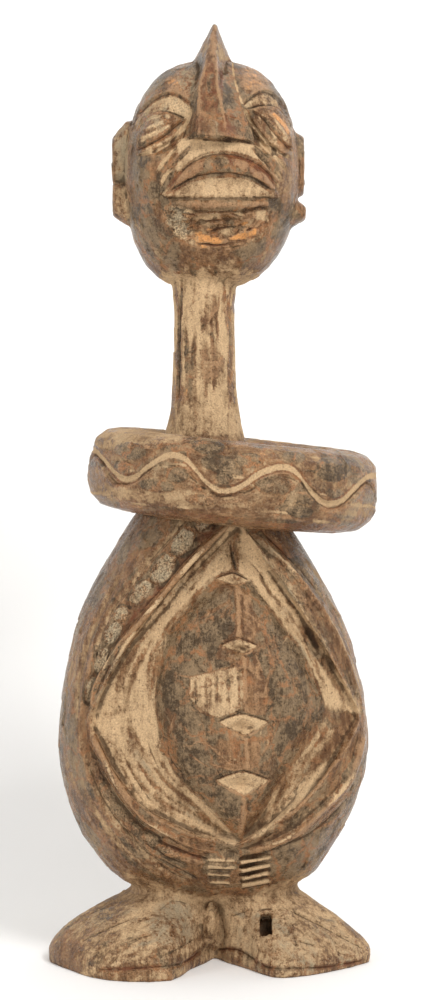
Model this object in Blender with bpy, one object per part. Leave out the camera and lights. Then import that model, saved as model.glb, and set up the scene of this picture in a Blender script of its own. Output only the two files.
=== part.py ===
# Nkishi figure: a standing figure carved from one piece of wood, with a loose wooden ring
# round its neck. Metres, +Z up; the figure faces -Y and stands on its soles at Z = 0.

import math

import bmesh
import bpy
import numpy as np
from mathutils import Euler, Matrix, Vector
from mathutils.bvhtree import BVHTree

# Driving sizes
HEIGHT = 0.480  # soles to the tip of the crest
RING_OUTER = 0.151  # the loose ring's outer diameter
RING_BORE = 0.094  # its hole
RING_HEIGHT = 0.0415
RING_OFFSET = 0.0096  # the ring hangs to one side of the figure's axis
RING_FORWARD = 0.0014  # and a little to the front
RING_ROLL = math.radians(6.0)  # its side at +X hangs lower
RING_PITCH = math.radians(3.0)  # its back hangs lower
SEAT_GAP = 0.0003  # left between the ring and the shoulders that carry it
SEAT_STEPS = 24  # halvings of the height it is lowered through
WAVES = 8  # waves in the groove that runs round the ring
WAVE_RISE = 0.0063  # from the groove's mean height to a crest
WAVE_TURN = math.radians(3.0)  # how far round the first trough stands
GROOVE_WIDTH = 0.0040
GROOVE_DEPTH = 0.0016
RING_STEPS = 10  # sections to each wave
RING_EDGE_OUT = 0.0150  # radius of the ring's outer edges
RING_EDGE_IN = 0.0080  # radius of its inner edges

# Head: an egg standing on its narrow jaw
HEAD_MIDDLE = 404.7
HEAD_HALF_HEIGHT = 58.7
HEAD_HALF_WIDTH = 45.5
HEAD_FRONT = 47.0
HEAD_BACK = 50.0
HEAD_AXIS = -1.3  # the head leans a little to one side
JAW_LEAN = 3.0  # and its jaw more so
HEAD_SQUARE = 2.3  # 2 makes the head round seen from above, more makes it squarer
SKULL_FALL = 0.36  # how fast it narrows upwards, less is blunter
JAW_FALL = 0.345  # and downwards
DEPTH_FALL = 0.42  # the same for its depth
HEAD_COLUMNS = 36
HEAD_ROWS = 20
CREST_RISE = 75.3  # from the head's middle to the crest's tip

# The figure's own carving is set out in parts of its height, so it keeps its proportions:
# one is a 480th of it, from the soles to the tip of the crest
UNIT = HEIGHT / (HEAD_MIDDLE + CREST_RISE)

# Body, seen from the front: x to the side, z up
BODY_OUTLINE = [
    (-4, 262), (-28, 247), (-38, 233), (-48.5, 218), (-66, 186), (-75.8, 155), (-81, 112),
    (-77, 85), (-66.3, 60), (-43.5, 37), (-2.8, 29), (43.5, 37.5), (62.5, 60), (74.7, 85),
    (79.7, 112), (73.5, 155), (60.5, 186), (42, 218), (31, 233), (20, 247),
]
BELLY_CENTRE = (11.9, 143.0)
BELLY_CORNERS = [(10.6, 200), (-29, 137), (12.6, 69.5), (53, 133.5)]
BELLY_BULGES = [12, 9.5, 1.5, 6]
LOZENGE_CORNERS = [(10.6, 227), (-63.6, 125.5), (12.1, 66), (74.5, 126.5)]
LOZENGE_BULGES = [7, 15, 6.5, 3]
BAND_CORNERS = [(10.6, 237), (-69, 126), (12, 56), (77, 127)]
BAND_BULGES = [17, 27, 15, 9]
# The belly's swell from its middle out: share of the way to its edge, height over the body
BELLY_SWELL = [(0.0, 10.0), (0.28, 8.0), (0.62, 5.0), (0.88, 0.5)]
BELLY_EDGE = -3.5
BODY_FRONT = 58.0
BODY_BACK = 60.0
BODY_COLUMNS = 64

# Neck, from inside the shoulders to inside the jaw: share of the way up, radius
NECK_AXIS = -5.3
NECK_IN_BODY = 22.0  # how far it runs down into the shoulders
NECK_IN_HEAD = 16.0  # and up into the head
NECK_ROWS = [
    (0.0, 30), (0.074, 29.5), (0.139, 25.5), (0.205, 22), (0.287, 19.3), (0.361, 17.7),
    (0.467, 16.6), (0.607, 15.9), (0.795, 15.9), (0.902, 17), (1.0, 21),
]
NECK_SIDES = 24

# Crest and nose, one long wedge, as level slices from the tip down: share of the rise from
# the head's middle, left side, left ridge, right ridge, right side, front, back, and the depth
# of the sides where they stand clear of the head; the others lie on it
CREST_SLICES = [
    (1.0, -1.0, -0.8, 1.0, 1.2, 15, 10, 12.5),
    (0.867, -6.6, -2.4, 1.4, 5.4, 23, -6, 8.5),
    (0.774, -11.0, -3.8, 1.0, 8.8, 29, -18, 5.5),
    (0.681, -12.0, -4.4, 1.0, 11.5, 34, -24, 5.0),
    (0.482, -12.5, -7.6, 2.2, 13.5, 43, 0, None),
    (0.296, -13.5, -7.9, 4.2, 17.0, 49, 10, None),
    (0.130, -14.8, -7.8, 6.2, 20.4, 53, 15, None),
]

# Ears, each in two pieces: side, top and bottom in hundredths of the head's half height, how
# far it stands out past the head's half width, middle depth, half depth, top and bottom bevel
EARS = {
    "left_ear": (-1, 49.0, -9.0, 6.3, -2.0, 12.0, 9.0, 1.0),
    "left_lobe": (-1, -6.0, -45.0, 5.8, 2.0, 10.0, 1.0, 4.5),
    "right_ear": (1, 41.0, -23.0, 2.4, -2.0, 12.0, 3.5, 3.5),
    "right_lobe": (1, -20.0, -46.5, 3.3, 2.0, 10.0, 5.0, 4.0),
}
EAR_ROOT = 14.0  # how deep an ear reaches into the head
EAR_BEVEL = 7.0
EAR_SIDES = 12
EAR_SQUARE = 0.7  # under 1 makes its ends squarer

# Face, in hundredths of the head's half width and half height from its middle
SOCKETS = {"left": (-57.1, 27.8, -34.0), "right": (63.5, 27.8, 40.0)}  # the last is a turn
SOCKET_SIZE = (17.5, 7.5, 12.5)
EYE_SIZE = (13.5, 6.0, 7.5)
EYE_BACK = 5.5  # from the face to the middle of the eye's swelling
EYE_DROP = 1.0  # the eye lies lower in its socket
UPPER_LIP = [
    (-50, -28.4), (-32, -14.8), (-12.5, -7.2), (9.5, -4.6), (31.4, -7.7), (53.4, -16.5), (71, -26.7),
]
LOWER_LIP = [(-43.3, -34.6), (-23.5, -35.9), (3, -36.6), (33.6, -35.9), (62.2, -33.9)]
MOUTH = [(-43.3, -28.4), (-23.5, -24), (9.5, -22), (42.4, -23.7), (64.4, -27.8)]
CHIN_BREAK = (5.1, -58.3)
CHIN_SIZE = (25.0, 7.0, 8.0)
HOLLOW_FORWARD = 3.0  # the middles of the sockets and the broken place stand before the face
FOLDS = [
    [(-24.6, 21), (-45.5, 3.9), (-63.1, -13.1)],
    [(-31.2, 3.9), (-43.3, -8), (-53.2, -23.3)],
    [(51.2, 14.1), (66.6, 2.2), (79.8, -13.1)],
    [(51.2, -1.2), (64.4, -11.4), (74.3, -23.3)],
]

# Feet: the outline of each sole, x and distance in front of the axis
LEFT_SOLE = [
    (3, 2), (-11.9, 34), (-20.9, 56), (-43.4, 58), (-60.5, 50), (-73, 34), (-84.5, 17),
    (-83, 2), (-70, -15), (-45, -33), (-18, -40), (3, -40),
]
RIGHT_SOLE = [
    (-3, 2), (-3, -40), (18, -40), (44, -33), (66, -15), (77, 2), (79.2, 18), (56.6, 39.5),
    (39.2, 49.5), (28.9, 49.5), (17.8, 34),
]
SOLE_EDGE = 6.0  # upright edge round each sole
ANKLE_HEIGHT = 36.0
ANKLE_TOP = 46.0  # the ankles end inside the body
ANKLE_LEFT = (-19.0, -4.0, 20.0, 25.0)  # middle x, middle depth, half width, half depth
ANKLE_RIGHT = (18.0, -4.0, 22.0, 25.0)
FOOT_STEPS = 6
LEFT_DRAW = 1.7  # how late each foot draws in
RIGHT_DRAW = 1.3
BETWEEN_FEET = (-1.3, 22.0, 20.0)  # a small swelling between the ankles
BETWEEN_SIZE = (4.2, 9.0, 12.0)

# Four diamond notches down the ridge of the belly: x, z, width, height
NOTCHES = [
    (8.0, 196.5, 17, 6.5),
    (11.8, 163.5, 19.5, 8),
    (13.6, 125.0, 26.5, 10.5),
    (14.1, 96.5, 27.5, 10.5),
]
NOTCH_DEPTH = 5.0

# Short strokes cut side by side under the belly: x, z of each one's middle
STROKES = [(20.5, 58.0), (20.5, 53.8), (20.5, 49.6), (20.5, 45.2)]
STROKE_SIZE = (17.0, 4.6, 1.9)
STROKE_TILT = math.radians(5.0)

# Slot in the top of the right foot: x, depth in front of the axis, z
FOOT_SLOT = (25.6, 33.0, 23.0)
SLOT_SIZE = (4.6, 12.0, 10.5)

WOOD = (0.24, 0.15, 0.085)
WOOD_DARK = (0.20, 0.135, 0.085)


def clear_scene():
    for thing in list(bpy.data.objects):
        bpy.data.objects.remove(thing)
    for group in list(bpy.data.collections):
        bpy.data.collections.remove(group)


def new_collection(name):
    group = bpy.data.collections.new(name)
    bpy.context.scene.collection.children.link(group)
    return group


def wood_material(name, colour, roughness):
    material = bpy.data.materials.new(name)
    material.use_nodes = True
    shader = material.node_tree.nodes["Principled BSDF"]
    shader.inputs["Base Color"].default_value = (*colour, 1.0)
    shader.inputs["Roughness"].default_value = roughness
    shader.inputs["Metallic"].default_value = 0.0
    return material


def add_object(name, mesh_data, group):
    mesh = bpy.data.meshes.new(name)
    bmesh.ops.recalc_face_normals(mesh_data, faces=mesh_data.faces)
    mesh_data.to_mesh(mesh)
    mesh_data.free()
    thing = bpy.data.objects.new(name, mesh)
    group.objects.link(thing)
    return thing


def loft(sections, closed=False):
    # Quads between equal loops of points; the ends are capped unless the loft closes on itself
    mesh_data = bmesh.new()
    loops = [[mesh_data.verts.new(point) for point in section] for section in sections]
    count = len(sections[0])
    pairs = list(zip(loops, loops[1:]))
    if closed:
        pairs.append((loops[-1], loops[0]))
    for low, high in pairs:
        for k in range(count):
            after = (k + 1) % count
            mesh_data.faces.new((low[k], low[after], high[after], high[k]))
    if not closed:
        mesh_data.faces.new(reversed(loops[0]))
        mesh_data.faces.new(loops[-1])
    return mesh_data


def closed_curve(points, steps=6):
    # A smooth closed curve through the points
    points = [np.array(point, float) for point in points]
    count = len(points)
    curve = []
    for k in range(count):
        before, start, end, after = (points[(k + step) % count] for step in (-1, 0, 1, 2))
        for part in range(steps):
            t = part / steps
            bend = 2 * before - 5 * start + 4 * end - after
            twist = 3 * start - before - 3 * end + after
            curve.append(start + 0.5 * ((end - before) * t + bend * t**2 + twist * t**3))
    return np.array(curve)


def bowed_sides(corners, bulges, steps=10):
    # A closed outline whose sides run from corner to corner and bow out by their bulges
    points = []
    for k, bulge in enumerate(bulges):
        start = np.array(corners[k], float)
        end = np.array(corners[(k + 1) % len(corners)], float)
        along = end - start
        outward = np.array((along[1], -along[0])) / np.linalg.norm(along)
        for part in range(steps):
            t = part / steps
            points.append(start + along * t + outward * bulge * 4 * t * (1 - t))
    return np.array(points)


def radius_by_angle(outline):
    # The outline's distance from the belly's centre, as a function of the direction
    offset = outline - np.array(BELLY_CENTRE)
    angles = np.arctan2(offset[:, 1], offset[:, 0])
    radii = np.hypot(offset[:, 0], offset[:, 1])
    return lambda angle: float(np.interp(angle, angles, radii, period=2 * math.pi))


body_radius = radius_by_angle(closed_curve(BODY_OUTLINE))
belly_radius = radius_by_angle(bowed_sides(BELLY_CORNERS, BELLY_BULGES))
lozenge_radius = radius_by_angle(bowed_sides(LOZENGE_CORNERS, LOZENGE_BULGES))
band_radius = radius_by_angle(bowed_sides(BAND_CORNERS, BAND_BULGES))


def body_curve(share):
    # The body's swell, from 1 at its middle to 0 at its outline
    return max(0.0, 1.0 - share**3) ** 0.45


def body_front(x, z):
    # How far the uncarved front of the body stands before the axis
    offset = (x - BELLY_CENTRE[0], z - BELLY_CENTRE[1])
    share = math.hypot(*offset) / body_radius(math.atan2(offset[1], offset[0]))
    return BODY_FRONT * body_curve(share)


def front_profile(angle):
    # From the middle of the belly out to the body's edge: distance and height of the relief
    edge = body_radius(angle)
    belly = belly_radius(angle)
    rim = min(lozenge_radius(angle), edge - 3.0)
    rim = max(rim, belly + 1.0)
    band = min(max(band_radius(angle), rim + 1.5), edge - 1.2)
    spread = min(1.0, (rim - belly) / 12.0)
    return [
        *[(share * belly, lift) for share, lift in BELLY_SWELL[1:]],
        (belly, -3.0 - 2.0 * spread),
        (belly + 0.45 * (rim - belly), -3.0 - 5.0 * spread),
        (belly + 0.88 * (rim - belly), -2.0 - 3.4 * spread),
        (rim, 1.6),
        (rim + 0.45 * (band - rim), -1.8),
        (band, 1.0),
        (band + 0.45 * (edge - band), 0.2),
        (band + 0.80 * (edge - band), 0.0),
        (band + 0.95 * (edge - band), 0.0),
    ]


def make_body(group):
    # The pole of the sphere faces front, so that its rings follow the carved outlines
    angles = [math.radians(90 + 360 * k / BODY_COLUMNS) for k in range(BODY_COLUMNS)]
    profiles = [front_profile(angle) for angle in angles]
    rings = len(profiles[0])
    sections = []
    for ring in range(rings):
        section = []
        for angle, profile in zip(angles, profiles):
            distance, lift = profile[ring]
            swell = BODY_FRONT * body_curve(distance / body_radius(angle))
            section.append(body_point(angle, distance, swell + lift))
        sections.append(section)
    for share, swell in [(1.0, 0.0)] + [(s, body_curve(s)) for s in (0.97, 0.89, 0.76, 0.58, 0.36, 0.12)]:
        sections.append([body_point(a, share * body_radius(a), -BODY_BACK * swell) for a in angles])
    body = loft(sections)
    tip = body.verts.new(Vector(body_point(0.0, 0.0, BODY_FRONT + BELLY_SWELL[0][1])))
    caps = [face for face in body.faces if len(face.verts) == BODY_COLUMNS]
    front_cap = min(caps, key=lambda face: face.verts[0].co.y)
    edge = list(front_cap.verts)
    body.faces.remove(front_cap)
    for first, second in zip(edge, edge[1:] + edge[:1]):
        body.faces.new((first, second, tip))
    return add_object("figure", body, group)


def body_point(angle, distance, front):
    x = BELLY_CENTRE[0] + distance * math.cos(angle)
    z = BELLY_CENTRE[1] + distance * math.sin(angle)
    return (x * UNIT, -front * UNIT, z * UNIT)


def make_neck(group):
    sections = []
    turns = [2 * math.pi * k / NECK_SIDES for k in range(NECK_SIDES)]
    for share, radius in NECK_ROWS:
        height = neck_height(share)
        ring = [(NECK_AXIS + radius * math.cos(turn), radius * math.sin(turn)) for turn in turns]
        sections.append([(x * UNIT, y * UNIT, height * UNIT) for x, y in ring])
    return add_object("neck", loft(sections), group)


def neck_height(share):
    bottom = BODY_OUTLINE[0][1] - NECK_IN_BODY
    top = HEAD_MIDDLE - HEAD_HALF_HEIGHT + NECK_IN_HEAD
    return bottom + share * (top - bottom)


def head_reach(z):
    # Middle, half width, front and back of the head at one height
    level = max(-1.0, min(1.0, (z - HEAD_MIDDLE) / HEAD_HALF_HEIGHT))
    middle = HEAD_AXIS - JAW_LEAN * max(0.0, -level) ** 2
    swell = (1.0 - level * level) ** (SKULL_FALL if level > 0 else JAW_FALL)
    deep = (1.0 - level * level) ** DEPTH_FALL
    forehead = 1.0 - 0.20 * max(0.0, level) ** 1.4
    jaw = 1.0 - 0.12 * max(0.0, -level)
    return middle, HEAD_HALF_WIDTH * swell, HEAD_FRONT * deep * forehead * jaw, HEAD_BACK * deep * jaw


def head_front(x, z):
    middle, width, front, _ = head_reach(z)
    share = min(1.0, abs(x - middle) / width)
    return front * (1.0 - share**HEAD_SQUARE) ** (1 / HEAD_SQUARE)


def on_face(across, up):
    # The x and z of a place given in hundredths of the head's half width and half height
    return HEAD_AXIS + across * HEAD_HALF_WIDTH / 100, HEAD_MIDDLE + up * HEAD_HALF_HEIGHT / 100


def make_head(group):
    sections = []
    for row in range(1, HEAD_ROWS):
        z = HEAD_MIDDLE + HEAD_HALF_HEIGHT * math.cos(math.pi * row / HEAD_ROWS)
        middle, width, front, back = head_reach(z)
        section = []
        for k in range(HEAD_COLUMNS):
            turn = 2 * math.pi * k / HEAD_COLUMNS
            side = math.copysign(abs(math.cos(turn)) ** (2 / HEAD_SQUARE), math.cos(turn))
            depth = math.copysign(abs(math.sin(turn)) ** (2 / HEAD_SQUARE), math.sin(turn))
            reach = front if depth < 0 else back
            section.append(((middle + width * side) * UNIT, reach * depth * UNIT, z * UNIT))
        sections.append(section)
    return add_object("head", loft(sections), group)


def make_crest(group):
    sections = []
    for share, left, left_ridge, right_ridge, right, front, back, side_depth in CREST_SLICES:
        z = HEAD_MIDDLE + share * CREST_RISE
        if side_depth is None:
            side_depth = min(front - 3.0, head_front(left, z) - 1.5)
        plan = [
            (left, side_depth),
            (left_ridge, front),
            (right_ridge, front),
            (right, side_depth),
            (right_ridge + 0.6, back),
            (left_ridge - 0.6, back),
        ]
        sections.append([(x * UNIT, -depth * UNIT, z * UNIT) for x, depth in plan])
    return add_object("crest", loft(sections), group)


def make_ellipsoid(name, centre, half_sizes, turn, group, segments=16, rings=10):
    # centre is x, distance in front of the axis and z; turn is about the line of sight
    mesh_data = bmesh.new()
    bmesh.ops.create_uvsphere(mesh_data, u_segments=segments, v_segments=rings, radius=1.0)
    x, front, z = centre
    place = Matrix.Translation(Vector((x, -front, z)) * UNIT) @ Matrix.Rotation(turn, 4, "Y")
    mesh_data.transform(place @ Matrix.Diagonal(Vector(half_sizes) * UNIT).to_4x4())
    return add_object(name, mesh_data, group)


def make_sweep(name, points, radii, lift, group, sides=8):
    # A round bar laid along points on the face, as a bevelled curve turned into a mesh
    curve = bpy.data.curves.new(name, "CURVE")
    curve.dimensions = "3D"
    curve.bevel_depth = UNIT
    curve.bevel_resolution = sides // 4
    curve.use_fill_caps = True
    spline = curve.splines.new("POLY")
    spline.points.add(len(points) - 1)
    for point, place, radius in zip(spline.points, points, radii):
        x, z = on_face(*place)
        point.co = (x * UNIT, -(head_front(x, z) + lift) * UNIT, z * UNIT, 1.0)
        point.radius = radius
    holder = bpy.data.objects.new(name, curve)
    group.objects.link(holder)
    evaluated = holder.evaluated_get(bpy.context.evaluated_depsgraph_get())
    mesh_data = bmesh.new()
    mesh_data.from_mesh(bpy.data.meshes.new_from_object(evaluated))
    bmesh.ops.remove_doubles(mesh_data, verts=mesh_data.verts, dist=0.00005)
    bpy.data.objects.remove(holder)
    return add_object(name, mesh_data, group)


def make_ear(name, side, top, bottom, stand, middle_depth, half_depth, bevel_top, bevel_bottom, group):
    # A thick plate standing out from the side of the head, its outer face drawn in at the ends
    top = HEAD_MIDDLE + top * HEAD_HALF_HEIGHT / 100
    bottom = HEAD_MIDDLE + bottom * HEAD_HALF_HEIGHT / 100
    reach = HEAD_HALF_WIDTH + stand
    sections = []
    for out, drawn in ((reach - EAR_ROOT, 0.0), (reach - EAR_BEVEL, 0.0), (reach, 1.0)):
        high = top - drawn * bevel_top
        low = bottom + drawn * bevel_bottom
        deep = half_depth * (1.0 - 0.25 * drawn)
        section = []
        for k in range(EAR_SIDES):
            turn = side * 2 * math.pi * k / EAR_SIDES
            depth = middle_depth + deep * math.cos(turn)
            rise = math.copysign(abs(math.sin(turn)) ** EAR_SQUARE, math.sin(turn))
            z = (high + low) / 2 + (high - low) / 2 * rise
            section.append(((HEAD_AXIS + side * out) * UNIT, -depth * UNIT, z * UNIT))
        sections.append(section)
    return add_object(name, loft(sections), group)


def make_foot(name, sole, ankle, lateness, group):
    # The sole's outline rises by an upright edge, then draws in to the ankle under the body
    middle_x, middle_depth, half_width, half_depth = ankle
    outline = closed_curve(sole, steps=2)
    sections = [outline_section(outline, 0.0)]
    for step in range(FOOT_STEPS + 1):
        rise = step / FOOT_STEPS
        draw = rise**lateness
        ring = []
        for x, depth in outline:
            turn = math.atan2((depth - middle_depth) / half_depth, (x - middle_x) / half_width)
            end_x = middle_x + half_width * math.cos(turn)
            end_depth = middle_depth + half_depth * math.sin(turn)
            ring.append((x + (end_x - x) * draw, depth + (end_depth - depth) * draw))
        height = SOLE_EDGE + (ANKLE_HEIGHT - SOLE_EDGE) * rise
        sections.append(outline_section(ring, height))
    sections.append(outline_section(ring, ANKLE_TOP))
    return add_object(name, loft(sections), group)


def outline_section(outline, height):
    return [(x * UNIT, -depth * UNIT, height * UNIT) for x, depth in outline]


def make_box(name, centre, size, turn, group):
    mesh_data = bmesh.new()
    bmesh.ops.create_cube(mesh_data, size=1.0)
    x, front, z = centre
    place = Matrix.Translation(Vector((x, -front, z)) * UNIT) @ Matrix.Rotation(turn, 4, "Y")
    mesh_data.transform(place @ Matrix.Diagonal(Vector(size) * UNIT).to_4x4())
    return add_object(name, mesh_data, group)


def make_diamond(name, x, z, width, height, group):
    # An eight-sided wedge with its four corners round the belly's ridge
    depth = NOTCH_DEPTH
    rim = [(width / 2, 0, 0), (0, 0, height / 2), (-width / 2, 0, 0), (0, 0, -height / 2)]
    corners = [(0, -depth, 0), *rim, (0, depth, 0)]
    faces = [(0, k, k % 4 + 1) for k in range(1, 5)] + [(5, k % 4 + 1, k) for k in range(1, 5)]
    place = Vector((x, -body_front(x, z) - ridge_lift(z), z))
    mesh_data = bmesh.new()
    points = [mesh_data.verts.new((Vector(corner) + place) * UNIT) for corner in corners]
    for face in faces:
        mesh_data.faces.new([points[k] for k in face])
    return add_object(name, mesh_data, group)


def ridge_lift(z):
    # How far the belly's ridge stands over the body's uncarved front
    up = z > BELLY_CENTRE[1]
    reach = belly_radius(math.pi / 2 if up else -math.pi / 2)
    share = abs(z - BELLY_CENTRE[1]) / reach
    shares, lifts = zip(*BELLY_SWELL, (1.0, BELLY_EDGE))
    return float(np.interp(share, shares, lifts))


def make_ring(group):
    # Level slices of a rounded band; the rows beside the wave follow it round
    turns = RING_STEPS * WAVES
    half = RING_HEIGHT / 2
    outer = RING_OUTER / 2
    inner = RING_BORE / 2
    edge_out = min(RING_EDGE_OUT, half * 0.85, (outer - inner) * 0.55)
    edge_in = min(RING_EDGE_IN, half * 0.6, (outer - inner) * 0.35)
    sections = []
    for k in range(turns):
        turn = 2 * math.pi * k / turns
        wave = -WAVE_RISE * math.cos(WAVES * (turn + WAVE_TURN))
        profile = ring_profile(inner, outer, half, edge_in, edge_out, wave)
        sections.append([(r * math.sin(turn), -r * math.cos(turn), z) for r, z in profile])
    return add_object("ring", loft(sections, closed=True), group)


def ring_profile(inner, outer, half, edge_in, edge_out, wave):
    # Radius and height of each point round the band's section, from the inside over the top
    profile = [(inner, 0.0)]
    for angle in (0, 45, 90):
        turn = math.radians(angle)
        profile.append((inner + edge_in * (1 - math.cos(turn)), half - edge_in * (1 - math.sin(turn))))
    for angle in (90, 62, 34):
        turn = math.radians(angle)
        profile.append((outer - edge_out * (1 - math.cos(turn)), half - edge_out * (1 - math.sin(turn))))
    for step, depth in ((1, 0.0), (0, GROOVE_DEPTH), (-1, 0.0)):
        z = wave + step * GROOVE_WIDTH / 2
        profile.append((outer_face(outer, half, edge_out, z) - depth, z))
    for angle in (34, 62, 90):
        turn = math.radians(angle)
        profile.append((outer - edge_out * (1 - math.cos(turn)), edge_out * (1 - math.sin(turn)) - half))
    for angle in (90, 45, 0):
        turn = math.radians(angle)
        profile.append((inner + edge_in * (1 - math.cos(turn)), edge_in * (1 - math.sin(turn)) - half))
    return profile


def outer_face(outer, half, edge_out, z):
    over = max(0.0, abs(z) - (half - edge_out))
    return outer - edge_out + math.sqrt(max(0.0, edge_out**2 - over**2))


def combine(base, piece, operation):
    modifier = base.modifiers.new(piece.name, "BOOLEAN")
    modifier.object = piece
    modifier.operation = operation
    modifier.solver = "EXACT"


def finished_surface(thing):
    evaluated = thing.evaluated_get(bpy.context.evaluated_depsgraph_get())
    mesh = evaluated.to_mesh()
    corners = [thing.matrix_world @ vertex.co for vertex in mesh.vertices]
    faces = [tuple(face.vertices) for face in mesh.polygons]
    evaluated.to_mesh_clear()
    return corners, faces


def seat_ring(ring, figure):
    # The ring comes down round the neck until the gap to the shoulders is the seat gap
    tilt = Euler((RING_PITCH, RING_ROLL, 0.0)).to_matrix().to_4x4()
    corners, faces = finished_surface(figure)
    shoulders = BVHTree.FromPolygons(corners, faces)
    ring_corners = [tilt @ vertex.co for vertex in ring.data.vertices]
    normals = [tilt.to_3x3() @ vertex.normal for vertex in ring.data.vertices]
    grown = [corner + normal * SEAT_GAP for corner, normal in zip(ring_corners, normals)]
    ring_faces = [tuple(face.vertices) for face in ring.data.polygons]
    low = BELLY_CENTRE[1] * UNIT
    high = neck_height(0.6) * UNIT
    for _ in range(SEAT_STEPS):
        middle = (low + high) / 2
        place = Vector((RING_OFFSET, -RING_FORWARD, middle))
        moved = BVHTree.FromPolygons([corner + place for corner in grown], ring_faces)
        if moved.overlap(shoulders):
            low = middle
        else:
            high = middle
    ring.rotation_euler = (RING_PITCH, RING_ROLL, 0.0)
    ring.location = (RING_OFFSET, -RING_FORWARD, high)


def make_eyes(forms, cutters):
    # Deep sockets that slant down and out, with the eye's swelling in each
    hollows = []
    swellings = []
    for side, (across, up, turn) in SOCKETS.items():
        x, z = on_face(across, up)
        depth = head_front(x, z)
        slant = math.radians(turn)
        hollow = (x, depth + HOLLOW_FORWARD, z + EYE_DROP)
        swelling = (x, depth - EYE_BACK, z - EYE_DROP)
        hollows.append(make_ellipsoid(f"socket_{side}", hollow, SOCKET_SIZE, slant, cutters))
        swellings.append(make_ellipsoid(f"eye_{side}", swelling, EYE_SIZE, slant, forms))
    return hollows, swellings


def build():
    clear_scene()
    figure_group = new_collection("nkishi_figure")
    forms = new_collection("joined_forms")
    cutters = new_collection("cutters")

    figure = make_body(figure_group)
    bulk = [
        make_neck(forms),
        make_head(forms),
        make_foot("left_foot", LEFT_SOLE, ANKLE_LEFT, LEFT_DRAW, forms),
        make_foot("right_foot", RIGHT_SOLE, ANKLE_RIGHT, RIGHT_DRAW, forms),
    ]
    hollows, raised = make_eyes(forms, cutters)
    x, z = on_face(*CHIN_BREAK)
    place = (x, head_front(x, z) + HOLLOW_FORWARD, z)
    hollows.append(make_ellipsoid("chin_break", place, CHIN_SIZE, 0.0, cutters))

    # The upper lip arches over a shallow open mouth
    raised.append(make_sweep("upper_lip", UPPER_LIP, (2.0, 3.8, 4.8, 5.2, 4.8, 3.8, 2.0), -0.5, forms))
    raised.append(make_sweep("lower_lip", LOWER_LIP, (1.8, 3.4, 3.9, 3.4, 1.8), 0.0, forms))
    raised.append(make_crest(forms))
    raised.append(make_ellipsoid("between_feet", BETWEEN_FEET, BETWEEN_SIZE, 0.0, forms, 10, 8))
    for name, ear in EARS.items():
        raised.append(make_ear(name, *ear, forms))
    cuts = [make_sweep("mouth", MOUTH, (1.2, 3.8, 5.0, 3.8, 1.2), 1.5, cutters)]
    for number, points in enumerate(FOLDS, 1):
        cuts.append(make_sweep(f"fold_{number}", points, (1.0, 1.7, 0.9), 0.4, cutters, sides=4))
    for number, (x, z, width, height) in enumerate(NOTCHES, 1):
        cuts.append(make_diamond(f"notch_{number}", x, z, width, height, cutters))
    for number, (x, z) in enumerate(STROKES, 1):
        centre = (x, body_front(x, z), z)
        cuts.append(make_box(f"stroke_{number}", centre, STROKE_SIZE, -STROKE_TILT, cutters))
    cuts.append(make_box("foot_slot", FOOT_SLOT, SLOT_SIZE, 0.0, cutters))
    for operation, pieces in (
        ("UNION", bulk),
        ("DIFFERENCE", hollows),
        ("UNION", raised),
        ("DIFFERENCE", cuts),
    ):
        for piece in pieces:
            combine(figure, piece, operation)
    for group in (forms, cutters):
        for thing in group.objects:
            thing.hide_render = True
            thing.display_type = "WIRE"

    ring = make_ring(figure_group)
    seat_ring(ring, figure)
    figure.data.materials.append(wood_material("carved_wood", WOOD, 0.55))
    ring.data.materials.append(wood_material("ring_wood", WOOD_DARK, 0.55))
    for thing in (figure, ring):
        thing.data.shade_smooth()
        thing.data.set_sharp_from_angle(angle=math.radians(35))


build()
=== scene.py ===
import math

import bpy
import numpy as np
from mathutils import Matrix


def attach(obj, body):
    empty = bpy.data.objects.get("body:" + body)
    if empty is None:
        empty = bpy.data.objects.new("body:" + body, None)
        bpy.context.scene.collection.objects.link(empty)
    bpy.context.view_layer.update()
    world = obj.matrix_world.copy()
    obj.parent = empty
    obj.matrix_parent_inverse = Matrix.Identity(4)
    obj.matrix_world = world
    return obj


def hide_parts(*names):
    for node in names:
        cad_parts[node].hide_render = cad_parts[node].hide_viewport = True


# A carved wooden figure with a loose ring round its neck, on a pale sweep of paper.
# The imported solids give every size; this script carves the fine surface and paints the finish.

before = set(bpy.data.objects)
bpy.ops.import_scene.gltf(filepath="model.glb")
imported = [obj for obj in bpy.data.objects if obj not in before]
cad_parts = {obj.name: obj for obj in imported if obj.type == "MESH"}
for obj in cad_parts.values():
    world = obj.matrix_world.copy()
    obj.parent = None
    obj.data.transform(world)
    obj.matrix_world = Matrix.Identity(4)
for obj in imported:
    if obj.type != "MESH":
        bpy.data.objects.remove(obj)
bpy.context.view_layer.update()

view = {
    "pixelSize": 0.00052,  # metres to a pixel of the photograph, in the plane of the neck
    "middle": (220.5, 500.0),  # the middle of the photograph, in its own pixels
    "eye": (0.0031, -1.0, 0.236),
    "sensor": 36.0,
    "pixelsHigh": 1000,
    "sideways": 0.12,  # a normal that leans back further than this isn't seen
}
mm = 0.001


def toPhoto(co):  # where points of the model fall in the photograph, in its pixels
    depth = (co[:, 1] - view["eye"][1]) / -view["eye"][1]
    across = (co[:, 0] - view["eye"][0]) / view["pixelSize"] / depth
    down = (view["eye"][2] - co[:, 2]) / view["pixelSize"] / depth
    return np.stack([view["middle"][0] + across, view["middle"][1] + down], 1)


# Noise that is the same each run

def latticeValue(cell, seed):  # 0 to 1 for each cell of a grid
    x, y, z = cell.T
    mixed = (x * 374761393 + y * 668265263 + z * 1440662683 + seed * 1274126177) & 0xFFFFFFFF
    mixed = ((mixed ^ (mixed >> 13)) * 1103515245) & 0xFFFFFFFF
    return ((mixed ^ (mixed >> 16)) & 0xFFFF) / 65535.0


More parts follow.
